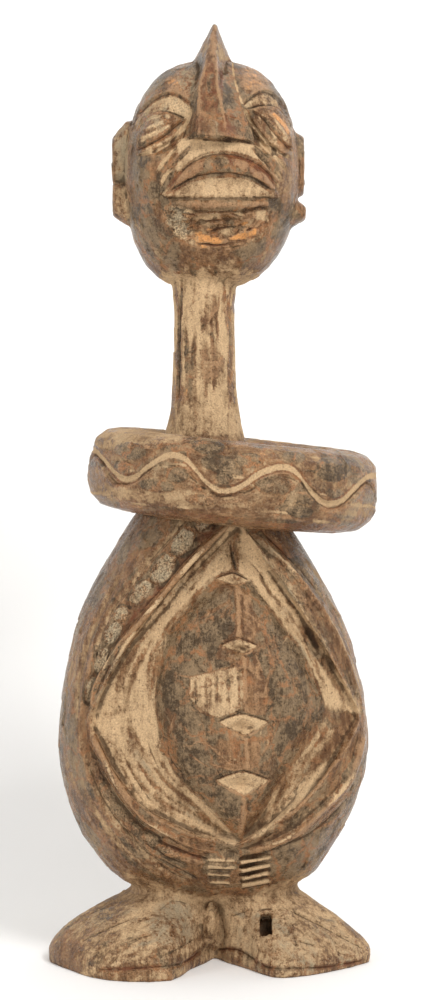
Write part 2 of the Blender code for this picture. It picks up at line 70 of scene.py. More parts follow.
def softNoise(co, size, seed):  # -1 to 1, in lumps of one size
    place = co / size
    cell = np.floor(place).astype(np.int64)
    part = place - cell
    part = part * part * (3 - 2 * part)
    total = np.zeros(len(co))
    for corner in np.ndindex(2, 2, 2):
        share = np.prod(np.where(np.array(corner), part, 1 - part), axis=1)
        total += share * latticeValue(cell + np.array(corner), seed)
    return total * 2 - 1


def knifeFlats(co, size, seed):  # each spot leans with the nearest stroke of the knife
    place = co / size
    cell = np.floor(place).astype(np.int64)
    nearest = np.full(len(co), 9.0)
    lean = np.zeros(len(co))
    for step in np.ndindex(3, 3, 3):
        there = cell + np.array(step) - 1
        jitter = np.stack([latticeValue(there, seed + k) for k in range(3)], 1)
        gap = place - there - jitter
        distance = (gap ** 2).sum(1)
        tilt = np.stack([latticeValue(there, seed + 3 + k) for k in range(3)], 1) * 2 - 1
        closer = distance < nearest
        nearest = np.where(closer, distance, nearest)
        lean = np.where(closer, (gap * tilt).sum(1), lean)
    return lean


# Lines and outlines in the photograph's pixels

def smoothLine(points, closed=False, steps=5):
    points = np.array(points, float)
    count = len(points)
    line = []
    for k in range(count if closed else count - 1):
        if closed:
            a, b, c, d = (points[(k + j) % count] for j in (-1, 0, 1, 2))
        else:
            a, b, c, d = (points[min(max(k + j, 0), count - 1)] for j in (-1, 0, 1, 2))
        for part in range(steps):
            t = part / steps
            slope, bend, twist = c - a, 2 * a - 5 * b + 4 * c - d, 3 * b - a - 3 * c + d
            line.append(0.5 * (2 * b + slope * t + bend * t ** 2 + twist * t ** 3))
    line.append(points[0] if closed else points[-1])
    return np.array(line)


def nearLine(spots, line):  # distance to the line, and how far along it, 0 to 1
    best = np.full(len(spots), 1e9)
    share = np.zeros(len(spots))
    lengths = np.hypot(*(line[1:] - line[:-1]).T)
    total = max(lengths.sum(), 1e-6)
    done = 0.0
    for start, end, length in zip(line, line[1:], lengths):
        along = (end - start) / max(length, 1e-6)
        t = np.clip((spots - start) @ along, 0, length)
        gap = np.hypot(*(spots - start - t[:, None] * along).T)
        closer = gap < best
        best = np.where(closer, gap, best)
        share = np.where(closer, (done + t) / total, share)
        done += length
    return best, share


def insideOf(spots, line):  # whether each spot lies within the closed line
    inside = np.zeros(len(spots), bool)
    x, y = spots.T
    for (x1, y1), (x2, y2) in zip(line, line[1:]):
        if y1 != y2:
            crosses = (y1 > y) != (y2 > y)
            inside ^= crosses & (x < (x2 - x1) * (y - y1) / (y2 - y1) + x1)
    return inside


def somewhere(chance, area):  # a random spot between left, right, top and low
    left, right, top, low = area
    return chance.uniform(left, right), chance.uniform(top, low)


def easeStep(value):
    value = np.clip(value, 0, 1)
    return value * value * (3 - 2 * value)


def resample(line, count):  # points evenly along the line
    lengths = np.concatenate([[0], np.cumsum(np.hypot(*(line[1:] - line[:-1]).T))])
    want = np.linspace(0, lengths[-1], count)
    return np.stack([np.interp(want, lengths, line[:, k]) for k in (0, 1)], 1)


toneNames = ("clay", "dark", "worn", "red", "grey", "speck", "gloss")


class Carving:  # the surface of one piece: where each point is, how far it is cut and how it is toned
    def __init__(self, co, normal):
        self.co, self.normal, self.spots = co, normal, toPhoto(co)
        self.shown = normal[:, 1] < view["sideways"]
        self.lift = np.zeros(len(co))
        self.tones = {name: np.zeros(len(co)) for name in toneNames}

    def near(self, line, reach):
        low, high = line.min(0) - reach, line.max(0) + reach
        x, y = self.spots.T
        return np.nonzero(self.shown & (x > low[0]) & (x < high[0]) & (y > low[1]) & (y < high[1]))[0]

    def tint(self, which, amount, tones):
        for name, strength in tones.items():
            tone = self.tones[name]
            tone[which] += (strength - tone[which]) * amount

    def stroke(self, points, width, depth, taper=0.15, spread=1.0, power=1.0, **tones):  # depth in mm
        line = smoothLine(points)
        which = self.near(line, width * max(1, spread))
        gap, share = nearLine(self.spots[which], line)
        ends = np.clip(np.minimum(share, 1 - share) / max(taper, 1e-3) + 0.1, 0, 1) if taper else 1.0
        self.lift[which] -= depth * np.clip(1 - gap / (width / 2), 0, 1) ** power * ends
        self.tint(which, easeStep(1.3 - gap / (width / 2 * spread)) * ends, tones)

    def region(self, outline, rise=0.0, soft=3.0, smooth=True, amount=1.0, **tones):  # rise in mm
        line = smoothLine(outline, closed=True, steps=4 if smooth else 1)
        which = self.near(line, soft)
        gap, _ = nearLine(self.spots[which], line)
        signed = np.where(insideOf(self.spots[which], line), gap, -gap)
        fill = easeStep(signed / soft + 0.5)
        self.lift[which] += rise * fill
        self.tint(which, fill * amount, tones)

    def dome(self, centre, sizes, turn=0.0, rise=1.0, power=1.0, amount=1.0, **tones):  # an oval swelling
        which = self.near(np.array([centre, centre], float), max(sizes))
        x, y = (self.spots[which] - np.array(centre)).T
        c, s = math.cos(math.radians(turn)), math.sin(math.radians(turn))
        far = np.hypot((x * c + y * s) / sizes[0], (y * c - x * s) / sizes[1])
        swell = np.clip(1 - far ** 2, 0, 1) ** power
        self.lift[which] += rise * swell
        self.tint(which, easeStep(swell * 2.2) * amount, tones)


def spreadOut(values, pairs, rounds):  # each point takes the mean of its neighbours, again and again
    ends = np.concatenate([pairs[:, 0], pairs[:, 1]])
    starts = np.concatenate([pairs[:, 1], pairs[:, 0]])
    count = len(values)
    neighbours = np.maximum(np.bincount(ends, minlength=count), 1)
    for _ in range(rounds):
        values = np.stack([np.bincount(ends, column[starts], count) / neighbours for column in values.T], 1)
    return values


def readPairs(piece):
    pairs = np.empty(len(piece.data.edges) * 2, np.int32)
    piece.data.edges.foreach_get("vertices", pairs)
    return pairs.reshape(-1, 2)


def reliefOf(piece, co, normal):  # 0 in sharp cuts, 0.5 on flats and 1 on sharp edges
    pairs = readPairs(piece)
    close = spreadOut(co, pairs, 8)
    wide = spreadOut(close, pairs, 30)
    near = ((co - close) * normal).sum(1) / mm
    far = ((co - wide) * normal).sum(1) / mm
    return np.clip(0.5 + near * 1.7 + far * 0.12, 0, 1)


softEdge = 8  # pixels over which the calming fades out


def calmDown(piece, outlines, rounds):  # the plain shapes of the solid melt together inside these
    co, normal = readPoints(piece)
    skin = Carving(co, normal)
    still = spreadOut(co, readPairs(piece), rounds)
    for outline in outlines:
        line = smoothLine(outline, closed=True)
        which = skin.near(line, softEdge)
        gap, _ = nearLine(skin.spots[which], line)
        fill = easeStep(np.where(insideOf(skin.spots[which], line), gap, -gap) / softEdge + 0.5)
        co[which] += (still[which] - co[which]) * fill[:, None]
    writePoints(piece, co)


def fineMesh(source, name, voxel, smoothing):  # the solid's form again, in small even faces
    piece = bpy.data.objects.new(name, source.data.copy())
    bpy.context.scene.collection.objects.link(piece)
    weld = piece.modifiers.new("weld", "WELD")
    weld.merge_threshold = 0.01 * mm
    remesh = piece.modifiers.new("fine", "REMESH")
    remesh.mode = "VOXEL"
    remesh.voxel_size = voxel
    soften = piece.modifiers.new("soften", "SMOOTH")
    soften.factor = 0.5
    soften.iterations = smoothing
    applyAll(piece)
    return piece


def applyAll(piece):
    done = bpy.data.meshes.new_from_object(piece.evaluated_get(bpy.context.evaluated_depsgraph_get()))
    piece.modifiers.clear()
    piece.data = done


def readPoints(piece):
    mesh = piece.data
    co = np.empty(len(mesh.vertices) * 3, np.float32)
    normal = np.empty(len(mesh.vertices) * 3, np.float32)
    mesh.vertices.foreach_get("co", co)
    mesh.vertex_normals.foreach_get("vector", normal)
    return co.reshape(-1, 3).astype(float), normal.reshape(-1, 3).astype(float)


def writePoints(piece, co):
    piece.data.vertices.foreach_set("co", co.astype(np.float32).ravel())
    piece.data.update()


def writeTones(piece, tones, relief):
    layers = {"tones": [tones["clay"], tones["dark"], tones["worn"], relief],
              "marks": [tones["red"], tones["grey"], tones["speck"], tones["gloss"]]}
    for name, columns in layers.items():
        layer = piece.data.color_attributes.new(name, "FLOAT_COLOR", "POINT")
        layer.data.foreach_set("color", np.clip(np.stack(columns, 1), 0, 1).astype(np.float32).ravel())


thinning = 1e-5  # how much the back is thinned before the front
backFacing = 0.15  # a normal that leans back further than this belongs to the back


def thinOut(piece, most, share):  # fewer faces where the surface is plain and where the share is high
    count = sum(len(face.vertices) - 2 for face in piece.data.polygons)
    if count > most:
        group = piece.vertex_groups.new(name="plain")
        for weight in np.unique(share):
            group.add(np.nonzero(share == weight)[0].tolist(), float(weight), "REPLACE")
        thin = piece.modifiers.new("thin", "DECIMATE")
        thin.ratio = most / count
        thin.vertex_group = group.name
        thin.vertex_group_factor = thinning
        applyAll(piece)
        piece.vertex_groups.clear()
    piece.data.shade_smooth()


# The figure

figureLook = {
    "voxel": 0.0007,  # metres
    "smoothing": 14,
    "mostTriangles": 194000,
    "frontShare": 0.55,  # how readily the front is thinned, where the back is 1
    "faceShare": 0.3,
    "flatSize": 13.0,  # mm across a knife flat
    "flatLean": 0.034,
    "roughness": 0.06,  # mm of fine unevenness
    "calming": 70,  # rounds of smoothing in the eye sockets
    "seamCalming": 210,  # and along the seams
    "feetTop": 38.0,  # heights in mm
    "bodyLow": 33.0,
    "bodyTop": 275.0,
    "neckLow": 262.0,
    "neckTop": 358.0,
    "chinHeight": 345.0,
    "headLow": 352.0,
    "soleCut": 0.5,  # mm: lower points are set on the floor
    "streaks": 46,  # long marks of the gouge in each quarter of the trough
}

# Each quarter of the trough: its clay, its outer border and the belly's edge beside it
quarters = {
    "upperLeft": (0.84,
                  [(233, 523), (212, 546), (192, 566), (173, 587), (156, 608), (140, 627), (125, 642),
                   (113, 661), (100, 682), (91, 716)],
                  [(232, 575), (214, 580), (193, 602), (172, 630), (161, 665), (156, 704)]),
    "lowerLeft": (0.90,
                  [(91, 719), (103, 742), (120, 774), (142, 803), (176, 823), (210, 839), (236, 846)],
                  [(156, 704), (162, 745), (182, 781), (213, 809), (239, 840)]),
    "lowerRight": (0.32,
                   [(364, 716), (331, 757), (297, 800), (273, 825), (250, 842)],
                   [(323, 707), (315, 730), (290, 763), (264, 801), (240, 840)]),
    "upperRight": (0.92,
                   [(241, 523), (265, 551), (285, 580), (307, 609), (324, 645), (333, 668), (350, 690),
                    (363, 714)],
                   [(238, 575), (250, 583), (277, 620), (302, 653), (318, 689), (323, 707)]),
}
notches = [((213.5, 579), (232, 572.5), (249, 580), (236, 586)),
           ((219, 645.5), (238, 638), (258.5, 645.5), (244, 654.5)),
           ((217, 722), (241, 713.5), (269.5, 721.5), (246, 736)),
           ((214.5, 780), (243, 771), (271, 780), (243.5, 795))]


def carveTrough(skin, chance):
    kinds = {  # share, wider or narrower, deeper by, tones
        "pale": (0.30, 1.0, 0.0, {"clay": 0.95, "dark": 0.05, "worn": 0.0, "grey": 0.1}),
        "olive": (0.22, 1.0, 0.0, {"clay": 0.62, "dark": 0.35, "worn": 0.0, "grey": 0.5}),
        "tan": (0.28, 0.9, -0.05, {"clay": 0.34, "dark": 0.05, "worn": 0.5, "grey": 0.0}),
        "brown": (0.14, 0.6, 0.1, {"clay": 0.3, "dark": 0.3, "worn": 0.1, "red": 0.5}),
        "cut": (0.06, 0.35, 0.2, {"clay": 0.3, "dark": 0.7, "worn": 0.0, "red": 0.4}),
    }
    shares = [kind[0] for kind in kinds.values()]
    for clay, border, rim in quarters.values():
        outer, inner = resample(smoothLine(border), 30), resample(smoothLine(rim), 30)
        skin.region([*border, *rim[::-1]], soft=7, smooth=False, clay=clay, dark=0.2, worn=0.14, grey=0.15,
                    gloss=0.2)
        for _ in range(figureLook["streaks"]):
            across, start = chance.uniform(0.04, 0.96), chance.integers(0, 20)
            end = min(30, start + chance.integers(6, 20))
            sway = 0.05 * np.sin(np.linspace(0, 5, 30) + chance.uniform(0, 6))
            line = outer + (inner - outer) * (across + sway)[:, None]
            _, wider, deeper, tones = kinds[chance.choice(list(kinds), p=shares)]
            tones = dict(tones, clay=tones["clay"] * (0.55 + 0.55 * clay),
                         dark=tones["dark"] + 0.3 * (1 - clay))
            skin.stroke(line[start:end:3], chance.uniform(3, 7) * wider,
                        chance.uniform(-0.12, 0.18) + deeper, 0.5, **tones)


bellyLines = {
    "flatStrokes": (192, 678, 706),  # left, top and low
    "cutFaces": (([(175, 640), (214, 598), (232, 610), (226, 640), (196, 664)], 0.2, 0.85, 0.1),
                 ([(158, 676), (176, 668), (190, 680), (188, 706), (158, 708)], 0.2, 0.95, 0.0),
                 ([(176, 712), (202, 714), (208, 742), (186, 752), (166, 740)], 0.1, 0.7, 0.3),
                 ([(160, 748), (206, 760), (218, 792), (206, 802), (182, 781)], 0.1, 0.9, 0.05),
                 ([(210, 730), (240, 738), (243, 766), (214, 760)], 0.1, 0.62, 0.3),
                 ([(250, 740), (272, 728), (284, 742), (262, 786), (250, 770)], 0.1, 0.6, 0.35),
                 ([(262, 650), (300, 655), (318, 690), (300, 728), (272, 700)], 0.2, 0.95, 0.05),
                 ([(243, 600), (262, 604), (290, 644), (262, 640), (243, 630)], 0.2, 0.9, 0.1),
                 ([(246, 800), (262, 800), (252, 826), (243, 836)], 0.0, 0.45, 0.45),
                 ([(205, 800), (232, 796), (240, 830), (222, 818)], 0.0, 0.75, 0.3)),
    "rubbedEdges": (([(172, 668), (190, 677), (241, 663)], 0.8),
                    ([(190, 677), (190, 694), (200, 711), (219, 718)], 0.7),
                    ([(187, 748), (204, 742), (232, 765), (243, 770)], 0.9),
                    ([(237, 590), (238, 606), (239, 634)], 0.9), ([(239, 608), (256, 620)], 0.6),
                    ([(200, 620), (232, 600)], 0.4), ([(262, 628), (270, 664), (262, 700)], 0.5),
                    ([(205, 762), (243, 772)], 0.6), ([(258, 760), (276, 730), (282, 700)], 0.5),
                    ([(188, 706), (202, 716)], 0.7), ([(176, 712), (168, 738)], 0.4),
                    ([(186, 752), (214, 770)], 0.6), ([(214, 760), (246, 768)], 0.7),
                    ([(201, 714), (206, 740)], 0.6), ([(222, 640), (234, 652)], 0.5),
                    ([(255, 654), (262, 672)], 0.7)),
    "ridgeTop": [(236.8, 586), (237.6, 604), (238.8, 636)],
    "ridgeMiddle": [(244, 656), (244.8, 684), (246, 713)],
    "ridgeLow": [(246, 737), (247, 770)],
    "ridgeFoot": [(243.6, 796), (243, 815), (240, 840)],
    "ridgeShade": [(249, 742), (252, 768)],
    "polishedSheen": [(190, 677), (241, 665), (245, 708), (219, 718), (200, 711), (190, 694)],
    "flatLine": [(189, 690), (214, 684), (232, 681)],
    "warmStrip": [(243, 664), (258, 660), (268, 688), (266, 714), (248, 714)],
    "warmLeft": [(218, 739), (240, 742), (243, 768), (222, 766)],
    "warmRight": [(250, 740), (262, 735), (258, 764), (249, 768)],
    "warmTop": [(236, 590), (246, 590), (262, 626), (250, 640), (238, 636)],
    "scratches": ((262, 728, 26, -14), (268, 742, 24, -10), (274, 700, 20, 24), (236, 760, 18, 60),
                  (296, 690, 30, 18), (285, 640, 24, -30), (300, 716, 22, -12), (214, 690, 24, 60)),
    "topSplit": [(230, 541), (232.7, 558), (236.4, 571)],
    "besideSplit": [(226, 536), (228, 556), (232, 571)],
}


def carveBelly(skin):
    belly = [*quarters["upperLeft"][2], *quarters["lowerLeft"][2], *quarters["lowerRight"][2][-2::-1],
             *quarters["upperRight"][2][::-1]]
    skin.region(belly, rise=0.4, soft=9, smooth=False, clay=0.05, dark=0.72, worn=0.2, gloss=0.5)
    # Flat cuts of the knife, each with a rubbed edge towards its neighbours
    for outline, rise, dark, worn in bellyLines["cutFaces"]:
        skin.region(outline, rise=rise, soft=4, smooth=False, dark=dark, worn=worn, clay=0.02)
    for points, strength in bellyLines["rubbedEdges"]:
        skin.stroke(points, 3.2, -0.3, 0.25, dark=0.1, worn=strength * 0.62)
    # The ridge between the notches
    skin.stroke(bellyLines["ridgeTop"], 8, -0.8, 0.05, worn=0.35, dark=0.4)
    skin.stroke(bellyLines["ridgeMiddle"], 8, -1.0, 0.05, worn=0.5, dark=0.2)
    skin.stroke(bellyLines["ridgeLow"], 8, -0.9, 0.05, worn=0.45, dark=0.2)
    skin.stroke(bellyLines["ridgeFoot"], 8, -1.3, 0.05, worn=0.55, dark=0.2)
    skin.stroke(bellyLines["ridgeShade"], 5, 0.3, worn=0.5, dark=0.35)
    # The polished flat left of the ridge, lightened with painted sheen, and the warm wood right of it
    skin.region(bellyLines["polishedSheen"], rise=0.5, soft=3, smooth=False, clay=0.68, dark=0.2, worn=0.4,
                grey=0.2, gloss=1.0)
    left, top, low = bellyLines["flatStrokes"]
    for k in range(15):
        x = left + k * 3.6
        tones = ({"clay": 0.95, "gloss": 1.0}, {"dark": 0.6, "clay": 0.3},
                 {"worn": 0.6, "clay": 0.5})[k % 3]
        skin.stroke([(x, top - (x - left) * 0.2), (x + 1, low + (x - left) * 0.05)], 2.6,
                    (-0.06, 0.10, 0.0)[k % 3], 0.3, **tones)
    skin.stroke(bellyLines["flatLine"], 2.2, -0.15, 0.3, worn=0.7, clay=0.4)
    skin.region(bellyLines["warmStrip"], soft=5, smooth=False, clay=0.12, dark=0.05, worn=0.62, red=0.15)
    skin.region(bellyLines["warmLeft"], soft=6, smooth=False, clay=0.3, dark=0.15, worn=0.45)
    skin.region(bellyLines["warmRight"], soft=4, smooth=False, clay=0.15, dark=0.05, worn=0.6)
    skin.region(bellyLines["warmTop"], soft=6, smooth=False, clay=0.1, dark=0.2, worn=0.6, red=0.2)
    # Scratches
    for x, y, length, lean in bellyLines["scratches"]:
        dx, dy = length / 2 * math.sin(math.radians(lean)), length / 2 * math.cos(math.radians(lean))
        skin.stroke([(x - dx, y - dy), (x + dx, y + dy)], 1.8, 0.2, 0.5, clay=0.7, dark=0.2)
    skin.stroke(bellyLines["topSplit"], 3.2, 1.6, 0.3, dark=1.0, clay=0.15)
    skin.stroke(bellyLines["besideSplit"], 7, 0.5, 0.3, dark=0.3, clay=0.6)


shellLines = {
    "bandInner": [(226, 520), (204, 540), (184, 559), (165, 581), (147, 603), (130, 622), (116, 637),
                  (104, 656), (93, 677), (85, 708)],
    "bandOuter": [(192, 513), (171, 536), (151.5, 558), (132, 582), (115, 604), (103, 626), (97, 645),
                  (94.5, 665), (88, 700)],
    "redBand": [(202, 516), (222, 520), (200, 545), (180, 569), (160, 594), (142, 614), (124, 632),
                (110, 652), (98, 676), (90, 704), (84, 704), (88, 676), (98, 648), (112, 622), (132, 598),
                (152, 574), (172, 548)],
    "bandLine": [(212, 530), (194, 551), (174, 574), (154, 598), (134, 618), (118, 636), (104, 660),
                 (93, 690)],
    "beads": ((205, 520, 12, 7, 46), (183, 541, 18, 9.5, 56), (163, 568, 18, 9.5, 54),
              (140, 593, 16, 7.5, 54), (121, 614, 9, 7, 50), (112, 633, 13, 7, 58), (100, 660, 14, 6, 68),
              (90, 690, 14, 5, 78)),
    "betweenBeads": ((194, 531), (173, 556), (151, 582), (130, 604)),
    "outerGroove": [(128, 560), (108, 597), (90, 636), (81, 670), (76.5, 706), (80, 735)],
    "upperLeftRidge": [(233, 520), (210, 543), (190, 563), (171, 585), (154, 606), (137, 626), (122, 641),
                       (110, 660), (98, 680), (90, 712)],
    "upperLeftStep": [(239, 528), (217, 550), (198, 569), (179, 591), (162, 613), (145, 633), (130, 649),
                      (118, 668), (106, 689), (97, 712)],
    "upperLeftShade": [(120, 645), (107, 668), (96, 694), (90, 712)],
    "upperRightBorder": [(242, 523), (265.5, 551), (285, 580), (307, 609), (323, 642), (334, 674)],
    "upperRightCut": [(300, 618), (312, 640), (326, 668)],
    "upperRightCrack": [(306, 640), (316, 656), (324, 668)],
    "upperRightRidge": [(251, 531), (272.7, 551), (294.5, 573), (314, 597), (331, 624), (345.5, 655),
                        (355, 684), (362, 708)],
    "upperRightGroove": [(257, 527), (280, 548), (302, 570), (322, 595), (339, 621), (353, 652),
                         (362, 684)],
    "rightBeads": ((300, 571, 48), (319, 594, 52), (334, 620, 58), (346, 646, 66)),
    "lowerLeftBorder": [(91, 722), (103, 742), (120, 774), (142, 803), (176, 822), (210, 839)],
    "lowerLeftRidge": [(92, 736), (107.9, 767), (120, 788.5), (132, 805.5), (146.7, 820), (171, 834.5),
                       (195, 846.7), (219.4, 851.5)],
    "lowerLeftGroove": [(88, 742), (101, 773), (113, 795), (126, 812), (141, 827), (167, 842)],
    "lowBeads": ((97, 770, 62), (107, 792, 56), (119, 812, 46), (133, 828, 40), (150, 840, 30),
                 (170, 852, 24)),
    "lowerLeftSeam": [(84, 748), (98, 791), (120, 825), (144, 851.5), (176, 876), (207, 888)],
    "lowerLeftShade": [(140, 838), (164, 856), (190, 868)],
    "lowerRightRidge": [(364, 730), (353, 774), (336, 796), (314, 817.6), (297, 832), (273, 844),
                        (248.5, 851.5)],
    "lowerRightStep": [(343, 742), (319, 779), (282, 820), (255, 840)],
    "lowerRightClay": [(331, 757), (297, 800.6), (272.7, 825), (246, 842)],
    "lowerRightInner": [(350, 730), (330, 768), (300, 806), (264, 834)],
    "lowerRightGroove": [(368, 752), (350, 796), (322, 826), (292, 846)],
    "crestHighlights": (([(210, 541), (191, 561), (172, 583)], 2.6), ([(165, 592), (153, 606), (138, 623)], 2.2),
                   ([(118, 646), (108, 662), (99, 679)], 2.2), ([(262, 542), (284, 562), (303, 582)], 2.0),
                   ([(322, 608), (338, 636), (348, 662)], 2.0), ([(100, 752), (112, 776), (126, 798)], 2.8),
                   ([(140, 815), (160, 829), (184, 842)], 2.2), ([(356, 768), (341, 789), (322, 811)], 3.0),
                   ([(305, 826), (282, 840), (262, 847)], 2.2)),
    "shadedCorner": [(268, 852), (312, 836), (332, 824), (324, 850), (298, 874), (276, 882)],
    "leftUndercutShade": [(150, 838), (168, 846), (191, 855), (214, 861)],
    "rightUndercutShade": [(241, 857), (262, 855), (283, 847), (308, 836)],
    "shadedPatch": [(282, 856), (306, 842), (318, 846), (296, 868), (280, 878)],
    "rightStrokes": ((239, 863, 273, 856.5), (240, 871.5, 272, 864.5), (241, 879, 269, 873),
                     (241, 886, 271, 880)),
    "leftStrokes": ((207, 236, 863), (207, 236, 870), (207, 231, 877), (207, 231, 885)),
    "besideStrokes": [(150, 855), (177, 869), (200, 880.5)],
    "junction": [(120, 870), (150, 880), (200, 896), (240, 896), (290, 876), (310, 866), (290, 900),
                 (230, 910), (180, 905), (136, 892)],
}


def carveShell(skin, chance):
    # Long marks on the outer shell, which follow its outline
    left = [(188, 522), (150, 556), (118, 592), (92, 636), (76, 690), (72, 740), (84, 790), (110, 834),
            (150, 872), (196, 893)]
    right = [(262, 527), (292, 552), (318, 582), (340, 622), (356, 664), (364, 712), (362, 756), (346, 800),
             (318, 838), (286, 866), (262, 884)]
    for edge, inward in ((left, 1), (right, -1)):
        line = resample(smoothLine(edge), 40)
        for _ in range(56):
            start = chance.integers(0, 32)
            end = min(40, start + chance.integers(6, 14))
            moved = line[start:end:3] + [inward * chance.uniform(-10, 24 if inward > 0 else 3), 0]
            tone = chance.choice(3, p=[0.36, 0.34, 0.30])
            clay, dark, worn = ((0.62, 0.1, 0.1), (0.1, 0.8, 0.0), (0.2, 0.15, 0.6))[tone]
            skin.stroke(moved, chance.uniform(3, 9), chance.uniform(-0.12, 0.2), 0.4, clay=clay, dark=dark,
                        worn=worn)
    # Upper left: two bands of beads between ridges
    skin.stroke(shellLines["bandInner"], 9, 0.9, 0.05, dark=0.5, worn=0.3, clay=0.05, red=0.5)
    skin.stroke(shellLines["bandOuter"], 8, 1.0, 0.05, clay=0.55, dark=0.3, worn=0.2)
    skin.region(shellLines["redBand"], rise=-0.5, soft=4, smooth=False, clay=0.1, dark=0.6, worn=0.1,
                red=0.75)
    skin.stroke(shellLines["bandLine"], 3, -0.2, 0.1, clay=0.1, dark=0.0, worn=0.7, red=0.3)
    for x, y, long, wide, turn in shellLines["beads"]:
        skin.dome((x, y), (long + 2.5, wide + 2.5), -turn, 0.0, 0.5, clay=0.05, dark=0.9, red=0.2, worn=0.0)
        skin.dome((x, y), (long, wide), -turn, 0.8, 0.5, clay=0.66, dark=0.2, worn=0.0, red=0.0, grey=0.7,
                  speck=0.8, gloss=0.5)
    for x, y in shellLines["betweenBeads"]:
        skin.stroke([(x - 7, y - 3), (x + 1, y), (x + 9, y + 4)], 3, 0.3, 0.3, worn=0.7, clay=0.05,
                    dark=0.0, red=0.3)
    skin.stroke(shellLines["outerGroove"], 7, 0.8, clay=0.5, dark=0.35)
    skin.stroke(shellLines["upperLeftRidge"], 5.5, -1.5, 0.04, clay=0.15, dark=0.35, worn=0.4, gloss=1.0,
                grey=0.5)
    skin.stroke(shellLines["upperLeftStep"], 7, 0.8, 0.05, clay=0.45, dark=0.3, red=0.3)
    skin.stroke(shellLines["upperLeftShade"], 6, 0.8, 0.1, clay=0.1, dark=0.9)
    # Upper right
    skin.stroke(shellLines["upperRightBorder"], 8, 1.0, 0.05, clay=0.5, dark=0.45)
    skin.stroke(shellLines["upperRightCut"], 8, 1.2, 0.4, clay=0.15, dark=0.7, red=0.4)
    skin.stroke(shellLines["upperRightCrack"], 3, 0.5, 0.4, clay=0.0, dark=1.0)
    skin.stroke(shellLines["upperRightRidge"], 6.5, -1.4, 0.04, clay=0.4, dark=0.3, worn=0.25, grey=0.3,
                gloss=0.9)
    skin.stroke(shellLines["upperRightGroove"], 6, 1.3, 0.1, clay=0.1, dark=0.6, red=0.6)
    for x, y, turn in shellLines["rightBeads"]:
        skin.dome((x + 4, y - 2), (11, 5), turn, 0.15, 0.6, clay=0.35, dark=0.5, grey=0.3, speck=0.5)
    # Lower left: the border of the trough, then the bright ridge and the grooves outside it
    skin.stroke(shellLines["lowerLeftBorder"], 7, 0.9, 0.05, clay=0.55, dark=0.4)
    skin.stroke(shellLines["lowerLeftRidge"], 7.5, -1.6, 0.06, clay=0.2, dark=0.35, worn=0.4, gloss=0.9)
    skin.stroke(shellLines["lowerLeftGroove"], 7, 1.3, clay=0.05, dark=0.75, worn=0.2)
    for x, y, turn in shellLines["lowBeads"]:
        skin.dome((x, y), (12, 6), turn, 0.9, 0.6, clay=0.3, dark=0.6, worn=0.1, grey=0.3, speck=0.5,
                  gloss=0.6)
    skin.stroke(shellLines["lowerLeftSeam"], 6, 0.9, clay=0.45, dark=0.45, worn=0.1)
    skin.stroke(shellLines["lowerLeftShade"], 8, 0.9, dark=0.95, clay=0.05)
    # Lower right
    skin.stroke(shellLines["lowerRightRidge"], 10, -2.0, 0.06, clay=0.3, dark=0.25, worn=0.42, gloss=0.9)
    skin.stroke(shellLines["lowerRightStep"], 8, 1.0, clay=0.4, dark=0.4, worn=0.3)
    skin.stroke(shellLines["lowerRightClay"], 7, -0.9, clay=0.85)
    skin.stroke(shellLines["lowerRightInner"], 6, -0.7, clay=0.45, dark=0.25, worn=0.35)
    skin.stroke(shellLines["lowerRightGroove"], 7, 1.2, clay=0.1, dark=0.9)
    # Pale lines along the crests of the glossy ridges: painted highlights
    for points, width in shellLines["crestHighlights"]:
        skin.stroke(points, width, -0.1, 0.4, clay=1.0, dark=0.0, worn=0.0, red=0.0, grey=0.2, gloss=1.0)
    # Painted shade over the lower right corner of the shell
    skin.region(shellLines["shadedCorner"], soft=7, amount=0.9, dark=1.0, clay=0.0, worn=0.0)
    # Undercut lips over the strokes, darkened with painted shadow, painted shade on a patch below the right
    # one, and the strokes
    skin.stroke(shellLines["leftUndercutShade"], 7, 1.6, 0.2, clay=0.0, dark=0.7, red=0.8)
    skin.stroke(shellLines["rightUndercutShade"], 7, 1.6, 0.2, clay=0.0, dark=0.8, red=0.7)
    skin.region(shellLines["shadedPatch"], soft=6, dark=0.95, clay=0.1)
    for x1, y1, x2, y2 in shellLines["rightStrokes"]:
        skin.stroke([(x1, y1), (x2, y2)], 5, -0.8, 0.1, clay=1.0, dark=0.0, worn=0.0)
        skin.stroke([(x1, y1 + 4), (x2, y2 + 4)], 3.5, 0.9, 0.1, clay=0.1, dark=0.85, red=0.3)
    for x, end, y in shellLines["leftStrokes"]:
        skin.stroke([(x, y), (end, y + 1)], 3.5, 0.9, 0.1, clay=0.45, dark=0.7)
        skin.stroke([(x, y - 3), (end, y - 2)], 3.5, -0.4, 0.1, clay=0.9)
    skin.stroke(shellLines["besideStrokes"], 4, 0.9, dark=0.9, clay=0.1)
    skin.region(shellLines["junction"], soft=10, clay=0.62, dark=0.2, worn=0.25, grey=0.1)


sockets = [  # of the eyes
    [(188, 106), (176, 99), (166, 97), (152, 102), (140, 114), (134, 128), (136, 150), (152, 150),
     (168, 142), (178, 132), (185, 122)],
    [(247, 106), (254, 99), (263, 96), (273, 99), (282, 108), (289, 124), (292, 150), (280, 150),
     (269, 144), (260, 131), (251, 118)],
]
seams = [  # the floor of the mouth, and where the body goes over into the feet
    [(172, 193), (190, 181), (222, 176), (252, 180), (270, 193), (222, 196)],
    [(120, 890), (150, 878), (200, 892), (240, 892), (296, 876), (316, 888), (280, 912), (226, 922),
     (222, 950), (202, 950), (200, 922), (150, 912)],
]


